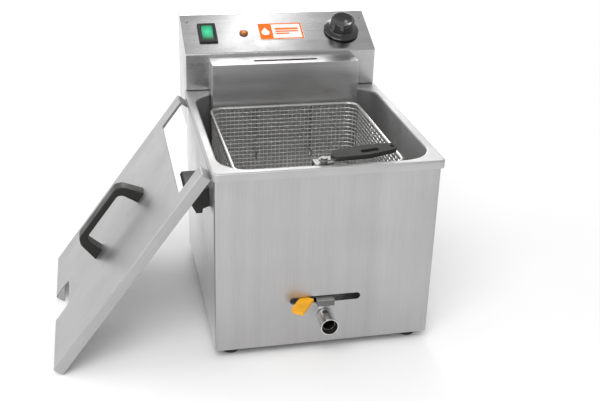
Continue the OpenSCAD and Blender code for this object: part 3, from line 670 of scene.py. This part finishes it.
class CabinetSettings(bpy.types.PropertyGroup):
    """Sizes of the tank and the control head."""

    rim_radius: length("Rim radius", "Radius of the rim's outer fold", 2.6, 0.5, 4)
    mouth_radius: length("Mouth radius", "Radius from the rim down into the tank", 3.0, 0.5, 4)
    floor_radius: length("Floor radius", "Radius where the tank's walls meet its floor", 14.0, 2, 25)
    corner_radius: length("Corner radius", "Radius of the tank's upright corners", 42.0, 20, 60)
    head_fold: length("Head fold", "Radius of the folds of the control head", 2.2, 0.5, 4)


class BasketSettings(bpy.types.PropertyGroup):
    """Sizes of the basket's woven mesh."""

    pitch: length("Mesh pitch", "Distance from wire to wire", 6.3, 4, 12)
    wire: length("Mesh wire", "Diameter of a woven wire", 1.35, 0.6, 2)


class ToneSettings(bpy.types.PropertyGroup):
    """Colours of the main finishes."""

    sheet: colour("Sheet steel", "Colour of the stainless sheet", (0.46, 0.455, 0.458))
    lever: colour("Lever sleeve", "Colour of the tap lever's sleeve", (0.82, 0.38, 0.01))
    print: colour("Label print", "Colour of the label's print", (0.86, 0.17, 0.012))


class StageSettings(bpy.types.PropertyGroup):
    """Light, floor and camera."""

    floor_tone: bpy.props.FloatProperty(
        name="Floor tone", description="Lightness of the floor", default=0.93, min=0, max=1
    )
    sky: bpy.props.FloatProperty(
        name="Room light", description="Strength of the even light of the room", default=0.64, min=0
    )
    power: bpy.props.FloatProperty(
        name="Lamp power", description="Power that the lamps share out", default=9.0, min=0, unit="POWER"
    )
    lens: bpy.props.FloatProperty(
        name="Lens", description="Focal length of the camera, mm", default=55.114, min=10, max=200
    )


class FryerSettings(bpy.types.PropertyGroup):
    """Everything that a user of the fryer would change."""

    cabinet: bpy.props.PointerProperty(type=CabinetSettings)
    basket: bpy.props.PointerProperty(type=BasketSettings)
    tones: bpy.props.PointerProperty(type=ToneSettings)
    stage: bpy.props.PointerProperty(type=StageSettings)


# ------------------------------------------------------------------ pieces


class FRYER_OT_finishes(bpy.types.Operator):
    """Make the shared effects and all the finishes"""

    bl_idname = "fryer.finishes"
    bl_label = "Finishes"

    def execute(self, context):
        make_finishes(context.scene.fryer.tones)
        return {"FINISHED"}


class FRYER_OT_tank(bpy.types.Operator):
    """Build the oil tank with its soft rim"""

    bl_idname = "fryer.tank"
    bl_label = "Oil tank"

    def execute(self, context):
        sizes = context.scene.fryer.cabinet
        corner = sizes.corner_radius
        top = RIM_HI.z
        floor = RIM_LO.z + SHEET
        skirt, skirt_corner = 11.0, 9
        outer = (RIM_LO.x, RIM_LO.y, RIM_HI.x, RIM_HI.y)
        mouth = (-141.0, 4.0, 141.0, 306.0)
        drain_y, drain_r = 78, 9
        quarter = [math.radians(18 * step) for step in range(6)]
        bm = bmesh.new()
        loops = []

        def ring(x0, y0, x1, y1, r, z, inset=0.0):
            outline = rounded(x0 + inset, y0 + inset, x1 - inset, y1 - inset, r - inset)
            loops.append(loop(bm, outline, z))

        ring(*outer, skirt_corner, top - skirt)
        ring(*outer, skirt_corner, top - skirt / 2)
        r = sizes.rim_radius
        for a in quarter:
            ring(*outer, skirt_corner, top - r + r * math.sin(a), r - r * math.cos(a))
        r = sizes.mouth_radius
        for a in quarter:
            ring(*mouth, corner, top - r + r * math.cos(a), r * (math.sin(a) - 1))
        ring(*mouth, corner, (top + floor) / 2)
        r = sizes.floor_radius
        for a in quarter:
            ring(*mouth, corner, floor + r - r * math.sin(a), r - r * math.cos(a))
        loops.append(loop(bm, arc(0, drain_y, drain_r, -85, 265, 35), floor))
        loft(bm, loops)
        bmesh.ops.recalc_face_normals(bm, faces=bm.faces)
        face_up(bm, max(bm.faces, key=lambda f: f.calc_area() if abs(f.normal.z) > 0.9 else 0))
        # the rim has no skirt behind, where the head stands
        middles = [(f, f.calc_center_median()) for f in bm.faces]
        behind = [f for f, middle in middles if middle.y > RIM_HI.y - 8 and middle.z < top - 3]
        bmesh.ops.delete(bm, geom=behind, context="FACES")
        piece("oil_tank", bm, "root", "tank_steel", ["tank"], angle=50, wall=SHEET)
        return {"FINISHED"}


class FRYER_OT_cabinet(bpy.types.Operator):
    """Dress the cabinet's sheets and its grip, and turn the feet"""

    bl_idname = "fryer.cabinet"
    bl_label = "Cabinet"

    def execute(self, context):
        dress("front_panel", "brushed_steel", 0.3)
        dress("back_panel", "back_steel", 0.3)
        for node in ("side_panel_left", "side_panel_right"):
            dress(node, "side_steel", 0.3)
        for node in ("base_plate", "head_lugs", "drain_elbow"):
            dress(node, "plate_steel")
        dress("foot_screws", "screw_steel")
        dress("grip_screws", "screw_steel", 0.5)
        dress("side_grip", "black_plastic", 0.9, 3)
        self.feet()
        return {"FINISHED"}

    def feet(self):
        """Four rubber feet with a rounded tread, a screw hole and a recess for the screw's head."""
        lo, hi = size("rubber_feet")
        r, tall, hole, recess, deep = 12.5, 12, 2.6, 5.5, 5
        side = [(hole, tall), (r, tall), (r, 10.5), (r - 0.4, 4), (r - 0.9, 1.6), (r - 1.5, 0.5)]
        tread = [(r - 2.6, 0), (recess + 0.7, 0), (recess, 0.6), (recess, deep), (hole, deep), (hole, tall)]
        bm = bmesh.new()
        for x in (lo.x + r, hi.x - r):
            for y in (lo.y + r, hi.y - r):
                foot = bmesh.new()
                turned(foot, side + tread, 40)
                bmesh.ops.translate(foot, verts=foot.verts, vec=(x, y, 0))
                done = bpy.data.meshes.new("foot")
                foot.to_mesh(done)
                foot.free()
                bm.from_mesh(done)
                bpy.data.meshes.remove(done)
        piece("rubber_feet_turned", bm, "root", "rubber", ["rubber_feet"])


class FRYER_OT_head(bpy.types.Operator):
    """Build the folded casing of the control head and dress what it holds"""

    bl_idname = "fryer.head"
    bl_label = "Control head"

    def execute(self, context):
        fold = context.scene.fryer.cabinet.head_fold
        front, rear, step = HEAD_LO.y, HEAD_HI.y, 330.0
        low, high, floor = HEAD_LO.z, HEAD_HI.z, RIM_HI.z + 0.5
        crest = front + (high - SLOPE_LOW) / math.tan(SLOPE_ANGLE)
        profile = [
            (front, floor), (front, SLOPE_LOW), (crest, high), (rear, high),
            (rear, low), (step, low), (step, floor),
        ]
        bm = bmesh.new()
        prism(bm, [(HEAD_LO.x, y, z) for y, z in profile], HEAD_HI.x - HEAD_LO.x)

        def folded(edge):
            a, b = (v.co for v in edge.verts)
            along = abs(a.x - b.x) > 1
            return along and min(a.z, b.z) > low + 5 and max(a.y, b.y) < rear - 1

        soften(bm, fold, 4, 15, folded)
        soften(bm, 0.7, 2, 50)
        piece("head_shell", bm, "head", "brushed_steel", ["head_casing"], finish="head_steel")
        dress("head_back_cover", "back_steel", 0.3)
        dress("cover_screws", "screw_steel", 0.4)
        dress("element_cover", "cover_steel", 0.3)
        dress("element_flange", "plate_steel")
        dress("element_glands", "bright_chrome")
        dress("heating_element", "element_metal")
        dress("bulb_sensor", "bright_chrome")
        dress("thermostat", "thermostat_metal")
        dress("terminal_block", "seat_white")
        for node in ("safety_cutout", "interlock_switch"):
            dress(node, "switch_black")
        dress("cable_gland", "switch_black", 0.6)
        dress("reset_button", "button_red", 0.5)
        dress("thermostat_shaft", "screw_steel")
        return {"FINISHED"}


class FRYER_OT_controls(bpy.types.Operator):
    """Build the rocker switch, the lamp, the label and the knob"""

    bl_idname = "fryer.controls"
    bl_label = "Controls"

    def execute(self, context):
        self.switch_frame()
        self.rocker()
        self.lamp()
        self.label()
        self.knob()
        return {"FINISHED"}

    def switch_frame(self):
        """A black frame with a rounded lip and a deep hole for the rocker."""
        outer = (-14.3, -22.7, 14.3, 22.7)
        hole = (-9.2, -15.7, 9.2, 15.7)
        lip = (hole[0] - 1.2, hole[1] - 1.2, hole[2] + 1.2, hole[3] + 1.2)
        bottom = -12
        bm = bmesh.new()
        loft(bm, [
            loop(bm, rounded(*box, r, 3), z)
            for box, r, z in (
                (outer, 1.6, LIFT), (outer, 1.6, 2.2), ([c * 0.975 for c in outer], 1.3, 2.85),
                ([c * 0.94 for c in outer], 1.1, 3.05), (lip, 1.0, 3.05), (hole, 0.6, 2.4),
                (hole, 0.6, bottom),
            )
        ])
        open_end = [e for e in bm.edges if e.is_boundary and e.verts[0].co.z < bottom + 2]
        bmesh.ops.holes_fill(bm, edges=open_end)
        bmesh.ops.recalc_face_normals(bm, faces=bm.faces)
        face_up(bm, max(bm.faces, key=lambda f: f.calc_center_median().z))
        piece("switch_frame", bm, "head", "switch_black", ["switch_housing"], place=on_slope(*SWITCH_SPOT))

    def rocker(self):
        """A green key with a hollow face, tipped to its off side."""
        half = 8.7
        face = arc(0, 57.5, 54, -105, -75, 10)
        profile = [(-14, 2), *face, (14, 2), (7, -8), (-7, -8)]
        bm = bmesh.new()
        prism(bm, [(-half, y, z) for y, z in profile], 2 * half)
        soften(bm, 0.7, 3, 40)
        tip = move(0, 0, -1.5) @ turn(8, "X")
        place = on_slope(*SWITCH_SPOT) @ tip
        piece("rocker_key", bm, "rocker", "rocker_green", ["switch_rocker"], place=place)

    def lamp(self):
        """The lamp's collar and its domed lens."""
        place = on_slope(*LAMP_SPOT)
        bore, lens_r, edge = 4.4, 4.3, 2.2
        inside = [(bore, -3), (bore, 2.1)]
        crown = [(4.9, 2.5), (5.9, 2.45), (6.5, 2.0), (6.8, 1.2), (6.8, LIFT)]
        shank = [(5, LIFT), (5, -3), (bore, -3)]
        bm = bmesh.new()
        turned(bm, inside + crown + shank, 40)
        piece("lamp_collar", bm, "head", "lamp_frame", ["pilot_lamp_bezel"], place=place)
        bm = bmesh.new()
        angles = [math.radians(a) for a in range(0, 90, 15)]
        dome = [(lens_r * math.cos(a), edge + 2.3 * math.sin(a)) for a in angles]
        turned(bm, [(0, -1.9), (lens_r, -1.9), *dome, (0, edge + 2.3)], 36)
        piece("lamp_dome", bm, "head", "lamp_amber", ["pilot_lamp_lens"], place=place)

    def label(self):
        """A white plate printed with a border, a block with a drop left out, and three bars."""
        place = on_slope(*LABEL_SPOT)
        half_w, half_h, thick = 35.5, 19.8, 0.6
        margin, line, ink = 0.6, 2.6, 0.12

        def frame_at(inset, r):
            return rounded(-half_w + inset, -half_h + inset, half_w - inset, half_h - inset, r, 4)

        bm = bmesh.new()
        plate(bm, [frame_at(0, 2.5)], thick, LIFT)
        soften(bm, 0.2, 2, 60)
        piece("label_plate_white", bm, "head", "label_white", ["label_plate"], place=place)
        bm = bmesh.new()
        plate(bm, [frame_at(margin, 2.0), frame_at(margin + line, 1.0)], ink, thick + LIFT - 0.01)
        drop = [(-25, 9.5)] + arc(-25, -2.4, 6.6, 40, -220, 20)
        block = rounded(-half_w + 2.5, -half_h + 2.5, -14, half_h - 2.5, 1.0, 4)
        plate(bm, [block, drop], ink, thick + LIFT)
        for end, low, high in ((28, 3.0, 7.8), (28, -2.2, 1.0), (13, -7.6, -4.4)):
            plate(bm, [rounded(-9, low, end, high, 0.8, 3)], 0.1, thick + LIFT)
        piece("label_print", bm, "head", "label_white", [], finish="label_orange", place=place)

    def knob(self):
        """A tapered knob with a wide skirt, a dished top and faint finger flutes."""
        flutes, flute_deep = 24, 0.22
        skirt = [(0, 1.2), (27.4, 1.2), (28, 1.8), (28, 3.6), (27.5, 4.3), (26.4, 4.75), (20.6, 6.6)]
        wall = [(19.9, 7.1), (19.5, 8.2), (18.9, 21.9), (18.6, 22.9), (17.9, 23.5), (16.6, 23.7)]
        dish = [(14.8, 23.3), (13.4, 22.4), (10.5, 21.2), (7, 20.4), (3.5, 20.0), (0, 19.9)]
        bm = bmesh.new()
        turned(bm, skirt + wall + dish, 96)
        for v in bm.verts:
            r = math.hypot(v.co.x, v.co.y)
            if 17.5 < r < 19.8 and 8 < v.co.z < 22.5:
                dip = flute_deep * max(0.0, math.cos(flutes * math.atan2(v.co.y, v.co.x)))
                v.co.x *= 1 - dip / r
                v.co.y *= 1 - dip / r
        place = on_slope(*KNOB_SPOT)
        piece("control_knob", bm, "knob", "knob_black", ["thermostat_knob"], place=place, angle=35)
        dress("knob_pointer", "pointer_white")


class FRYER_OT_basket(bpy.types.Operator):
    """Weave the wire basket and build its hook and its grip"""

    bl_idname = "fryer.basket"
    bl_label = "Basket"

    # the mesh's inset from the rim's outside, its corner radius, the bend from its walls to its
    # bottom, and how far below the rim's top it ends
    INSET = 3.0
    CORNER = 17.0
    BEND = 9.0
    BELOW_RIM = 4.0

    def execute(self, context):
        sizes = context.scene.fryer.basket
        low = size("basket_mesh")[0].z
        self.walls(low, sizes.pitch, sizes.wire / 2)
        self.bottom(low, sizes.pitch, sizes.wire / 2)
        self.hook()
        self.grip()
        for node in ("basket_rim", "basket_skids"):
            dress(node, "chrome_wire")
        for node in ("handle_bracket", "handle_pivot_pin", "handle_shank"):
            dress(node, "bracket_steel", 0.4)
        return {"FINISHED"}

    def stations(self, pitch):
        """Places round the wall, one for each upright wire, with their outward directions."""
        r = self.CORNER
        deep = self.INSET + r
        x0, y0, x1, y1 = BASKET_LO.x + deep, BASKET_LO.y + deep, BASKET_HI.x - deep, BASKET_HI.y - deep
        centres = [(x1, y0), (x1, y1), (x0, y1), (x0, y0)]
        path = []
        for side, (cx, cy) in enumerate(centres):
            nx, ny = centres[(side + 1) % 4]
            count = max(1, round(r * math.pi / 2 / pitch))
            for i in range(count):
                a = math.radians(90 * (side - 1) + 90 * i / count)
                path.append((cx + r * math.cos(a), cy + r * math.sin(a), math.cos(a), math.sin(a)))
            a = math.radians(90 * side)
            out_x, out_y = math.cos(a), math.sin(a)
            count = round(math.hypot(nx - cx, ny - cy) / pitch)
            for i in range(count):
                t = i / count
                x = cx + r * out_x + (nx - cx) * t
                y = cy + r * out_y + (ny - cy) * t
                path.append((x, y, out_x, out_y))
        # the weave closes only over an even number of wires
        return path[: len(path) // 2 * 2]

    def walls(self, low, pitch, wire):
        """Level rings and upright wires that pass in front of and behind each other in turn."""
        path = self.stations(pitch)
        bend = self.BEND
        top = BASKET_HI.z - self.BELOW_RIM
        wave = wire * 0.95
        rows = round((top - low - bend) / pitch)
        heights = [low + bend + (top - low - bend) * j / rows for j in range(rows + 1)]
        paths = []
        for j, z in enumerate(heights[:-1]):
            ring = []
            for i, (x, y, nx, ny) in enumerate(path):
                side = -wave * (-1) ** (i + j)
                ring.append((x + nx * side, y + ny * side, z))
            paths.append((ring, True))
        for i, (x, y, nx, ny) in enumerate(path):
            post = []
            for a in (math.radians(90), math.radians(60), math.radians(30)):
                inward = bend * (1 - math.cos(a))
                post.append((x - nx * inward, y - ny * inward, low + wire + bend - bend * math.sin(a)))
            for j, z in enumerate(heights):
                side = wave * (-1) ** (i + j)
                post.append((x + nx * side, y + ny * side, z))
            paths.append((post, False))
        woven = wires(paths, wire)
        piece("basket_weave_walls", woven, "basket", "mesh_wire", ["basket_mesh"], angle=60)

    def bottom(self, low, pitch, wire):
        """The woven bottom, in which each wire goes over and under the ones across it."""
        edge = self.INSET + self.BEND
        wave = wire * 0.95
        z = low + wire * 2
        xs = spread(BASKET_LO.x + edge, BASKET_HI.x - edge, pitch)
        ys = spread(BASKET_LO.y + edge, BASKET_HI.y - edge, pitch)
        paths = [
            ([(x, y, z + wave * (-1) ** (i + j)) for j, y in enumerate(ys)], False)
            for i, x in enumerate(xs)
        ]
        paths += [
            ([(x, y, z - wave * (-1) ** (i + j)) for i, x in enumerate(xs)], False)
            for j, y in enumerate(ys)
        ]
        piece("basket_weave_floor", wires(paths, wire), "basket", "mesh_wire", [], angle=60)

    def hook(self):
        """Two bent wires down the rear wall, joined by a cross bar, with their tips turned in."""
        lo, hi = size("basket_hook")
        y = lo.y + 0.9
        mid = (lo.x + hi.x) / 2
        half = (hi.x - lo.x) / 2 - 2.5
        bar_z = lo.z + 26
        tip = [(0, 8), (-1.5, 3), (-5, 0), (-8, 1.5), (-8.5, 12)]
        paths = []
        for x in (mid - half, mid + half):
            paths.append(([(x, y, hi.z)] + [(x, y + back, lo.z + up) for back, up in tip], False))
        paths.append(([(mid - half, y, bar_z), (mid + half, y, bar_z)], False))
        bent = wires(paths, 1.6, 8)
        piece("basket_hook_wires", bent, "basket", "chrome_wire", ["basket_hook"], finish="hook_wire")

    def grip(self):
        """A flat, leaf-shaped grip with a finger slot and a hanging hole."""
        side = arc(18, 0, 8, 180, 270, 6) + arc(62, 0, 11, 262, 278, 4) + arc(98, 0, 7, -84, 0, 8)
        outline = side + [(x, -y) for x, y in reversed(side[1:-1])]
        slot = arc(54, -2.5, 3.2, 90, 270, 8) + arc(74, -2.5, 3.2, -90, 90, 8)
        hole = arc(98, 0, 2.6, 0, 340, 17)
        thick = 7.0
        bm = bmesh.new()
        plate(bm, [outline, slot, hole], thick, -thick / 2)

        def on_face(edge):
            return abs(edge.verts[0].co.z - edge.verts[1].co.z) < 0.01

        soften(bm, 2.0, 4, 50, on_face)
        roll = move(0, 0, 3.6) @ turn(14, "X")
        piece(
            "basket_grip_moulded", bm, "basket_handle", "black_plastic", ["basket_grip"],
            finish="grip_grey", place=HANDLE @ roll, angle=50,
        )


class FRYER_OT_tap(bpy.types.Operator):
    """Dress the drain tap and build the lever's sleeve"""

    bl_idname = "fryer.tap"
    bl_label = "Drain tap"

    def execute(self, context):
        dress("drain_spout", "bright_chrome", 0.5, 3)
        for node in ("valve_body", "spout_locknut", "gland_nut", "valve_stem", "valve_ball"):
            dress(node, "bright_chrome")
        dress("lever_nut", "bright_chrome", 0.4)
        dress("seat_rings", "seat_white")
        # the guard's finish has painted light: a pale lit top over a shaded lip
        dress("lever_guard", "guard_grey", 0.4)
        dress("tap_lever", "plate_steel", 0.4)
        self.lining()
        self.sleeve()
        return {"FINISHED"}

    def lining(self):
        """A dark matt lining inside the spout's bore."""
        bore, mouth, mouth_deep, deep = 8.3, 10.45, 8.0, 24
        wall = [(0, deep), (bore, deep), (bore, mouth_deep + 0.2), (mouth, mouth_deep - 0.2)]
        bm = bmesh.new()
        turned(bm, wall + [(mouth, -0.1), (11.0, -0.1)], 48)
        bmesh.ops.reverse_faces(bm, faces=bm.faces)
        place = CABINET @ move(0, SPOUT_LO.y, (SPOUT_LO.z + SPOUT_HI.z) / 2) @ turn(-90, "X")
        piece("spout_lining", bm, "root", "bright_chrome", [], finish="oil_dark", place=place)

    def sleeve(self):
        """The lever's plastic sleeve, flat with a bulging end, on the dipped tip of the lever."""
        half, thick, start_y, end_y, bulge = 9.0, 5.2, -1.5, -31.0, 3.15
        arm, dip = 36, 10
        angles = [math.pi * i / 16 for i in range(17)]
        end = [(half * math.cos(a), end_y - bulge * math.sin(a)) for a in angles]
        outline = [(half, start_y)] + end + [(-half, start_y)]
        outline.reverse()
        bm = bmesh.new()
        plate(bm, [outline], thick, -thick / 2)
        soften(bm, 1.7, 4, 50)
        place = LEVER @ move(0, -arm, 0) @ turn(dip, "X")
        piece("lever_sleeve_soft", bm, "lever", "lever_yellow", ["lever_sleeve"], place=place, angle=60)


class FRYER_OT_lid(bpy.types.Operator):
    """Fold the lid and build its bridge handle"""

    bl_idname = "fryer.lid"
    bl_label = "Lid"

    def execute(self, context):
        self.tray()
        self.handle()
        dress("lid_screws", "screw_steel", 0.4)
        return {"FINISHED"}

    def tray(self):
        """The lid's sheet with its turned-down edges, a notch at one end and a wide cut-out."""
        half, long = LID_WIDTH / 2, LID_LENGTH
        cut_lo, cut_hi, cut_y = -118.0, 128.0, LID_LENGTH - 46.0
        notch = [(-34, 0), (-34, 30), (-29, 35), (29, 35), (34, 30), (34, 0)]
        cut = [(cut_hi, long), (cut_hi, cut_y), (cut_lo, cut_y), (cut_lo, long)]
        outline = [(-half, 0)] + notch + [(half, 0), (half, long)] + cut + [(-half, long)]
        bm = bmesh.new()
        face = bm.faces.new([bm.verts.new((x, y, 0)) for x, y in outline])
        if face.normal.z < 0:
            face.normal_flip()
        bm.normal_update()

        def folded(edge):
            a, b = (v.co for v in edge.verts)
            side = abs(abs(a.x) - half) < 0.01 and abs(a.x - b.x) < 0.01
            end = abs(a.y - b.y) < 0.01 and (a.y < 0.01 or a.y > long - 0.01)
            return side or end

        edges = [e for e in bm.edges if folded(e)]
        push(bm, bmesh.ops.extrude_edge_only(bm, edges=edges)["geom"], (0, 0, -LID_FLANGE))
        bmesh.ops.recalc_face_normals(bm, faces=bm.faces)
        face_up(bm, max(bm.faces, key=lambda f: f.calc_area()))
        soften(bm, 2.2, 4, 50)
        piece("lid_folded", bm, "lid", "lid_steel", ["lid_tray"], place=LID, wall=SHEET)

    def handle(self):
        """A bridge with sloped ends, across the middle of the lid."""
        half, tall, wide = 61, 37, 21.0
        leg = [(half - 16, tall), (half - 8, 29), (half, 0)]
        outer = [(-y, z) for y, z in reversed(leg)] + leg
        inner = [(44, 0), (42, 23), (37, 28), (-37, 28), (-42, 23), (-44, 0)]
        mid = LID_LENGTH / 2 - 3
        bm = bmesh.new()
        prism(bm, [(-wide / 2, mid + y, z) for y, z in outer + inner], wide)

        def across(edge):
            a, b = (v.co for v in edge.verts)
            return abs(a.x - b.x) > 1 and min(a.z, b.z) > 1

        def above_foot(edge):
            return max(v.co.z for v in edge.verts) > 0.5

        soften(bm, 3.0, 4, 20, across)
        soften(bm, 1.6, 3, 50, above_foot)
        piece("lid_handle_moulded", bm, "lid", "black_plastic", ["lid_handle"], place=LID)


# ------------------------------------------------------------------ stage

# Each lamp's name, its place and the point it faces, its width and height in metres, and its
# share of the power.
LAMPS = (
    ("key_light", (-0.9, -1.9, 2.3), (0.1, 0.0, 0.1), 2.2, 2.2, 5.8),
    ("left_light", (-2.2, 0.4, 1.4), (0.0, 0.0, 0.15), 1.6, 1.6, 2),
    ("slope_light", (0.38, 0.95, 1.9), (0.1, 0.14, 0.35), 0.2, 0.6, 0.125),
    ("back_light", (0.15, 3.2, 2.3), (0.1, 0.0, 0.2), 1.3, 1.2, 2.1),
    ("rim_light", (1.0, 3.2, 1.3), (0.1, 0.0, 0.2), 1.7, 0.8, 2.0),
    ("back_left_light", (-1.5, 3.0, 0.6), (0.0, 0.0, 0.2), 1.6, 1.1, 0.55),
)


class FRYER_OT_stage(bpy.types.Operator):
    """Lay the floor, hang the lights and set the camera"""

    bl_idname = "fryer.stage"
    bl_label = "Stage"

    def execute(self, context):
        scene = context.scene
        look = scene.fryer.stage
        scene.view_settings.view_transform = "Standard"
        self.floor(scene, look.floor_tone)
        self.room(scene, look.sky)
        for name, place, target, width, height, share in LAMPS:
            self.lamp(scene, name, place, target, (width, height), look.power * share)
        self.camera(scene, look.lens)
        return {"FINISHED"}

    def floor(self, scene, tone):
        """A wide sheet of pale paper."""
        bm = bmesh.new()
        bmesh.ops.create_grid(bm, x_segments=1, y_segments=1, size=6.0)
        mesh = bpy.data.meshes.new("floor")
        bm.to_mesh(mesh)
        bm.free()
        floor = bpy.data.objects.new("floor", mesh)
        scene.collection.objects.link(floor)
        material, tree, shader, where = start(
            "floor_paper", 0.0, Roughness=0.9, Specular_IOR_Level=0.1
        )
        fibre = use(tree, "Moulding", where, Grain=400.0, Flow=3.0)
        pale = (tone, tone, tone)
        paper = blend_colours(tree, fibre["Patch"], times(pale, 0.985), pale)
        tree.links.new(paper, shader.inputs["Base Color"])
        mesh.materials.append(material)

    def room(self, scene, strength):
        """An even white light from all round."""
        world = bpy.data.worlds.new("studio")
        scene.world = world
        world.use_nodes = True
        sky = world.node_tree.nodes["Background"]
        sky.inputs["Color"].default_value = (1.0, 1.0, 1.0, 1)
        sky.inputs["Strength"].default_value = strength

    def lamp(self, scene, name, place, target, area, power):
        """One soft rectangular lamp, turned to face its target."""
        light = bpy.data.lights.new(name, "AREA")
        light.shape = "RECTANGLE"
        light.size, light.size_y = area
        light.energy = power
        holder = bpy.data.objects.new(name, light)
        scene.collection.objects.link(holder)
        holder.location = place
        aim = Vector(target) - Vector(place)
        holder.rotation_mode = "QUATERNION"
        holder.rotation_quaternion = aim.to_track_quat("-Z", "Y")

    def camera(self, scene, lens):
        """A camera in front, a little to the left and looking down."""
        pan, tilt, roll = -12.908, 65.903, 1.64
        camera = bpy.data.cameras.new("camera")
        camera.lens = lens
        camera.sensor_width = 36.0
        camera.shift_x = 0.005
        camera.shift_y = -0.0259
        camera.clip_end = 50
        holder = bpy.data.objects.new("camera", camera)
        scene.collection.objects.link(holder)
        aim = turn(pan, "Z") @ turn(tilt, "X") @ turn(roll, "Z")
        holder.matrix_world = SPOT @ move(-0.2818, -1.0382, 0.728) @ aim
        scene.camera = holder


class FRYER_PT_sidebar(bpy.types.Panel):
    """Lists the fryer's pieces in the sidebar"""

    bl_idname = "FRYER_PT_sidebar"
    bl_label = "Deep Fryer"
    bl_space_type = "VIEW_3D"
    bl_region_type = "UI"
    bl_category = "Fryer"

    def draw(self, context):
        for operator in OPERATORS:
            self.layout.operator(operator.bl_idname)


OPERATORS = (
    FRYER_OT_finishes,
    FRYER_OT_tank,
    FRYER_OT_cabinet,
    FRYER_OT_head,
    FRYER_OT_controls,
    FRYER_OT_basket,
    FRYER_OT_tap,
    FRYER_OT_lid,
    FRYER_OT_stage,
)
CLASSES = (
    CabinetSettings,
    BasketSettings,
    ToneSettings,
    StageSettings,
    FryerSettings,
    *OPERATORS,
    FRYER_PT_sidebar,
)


def register():
    for cls in CLASSES:
        bpy.utils.register_class(cls)
    bpy.types.Scene.fryer = bpy.props.PointerProperty(type=FryerSettings)


def unregister():
    del bpy.types.Scene.fryer
    for cls in reversed(CLASSES):
        bpy.utils.unregister_class(cls)


def main():
    register()
    for operator in OPERATORS:
        group, name = operator.bl_idname.split(".")
        getattr(getattr(bpy.ops, group), name)()


if __name__ == "__main__":
    main()
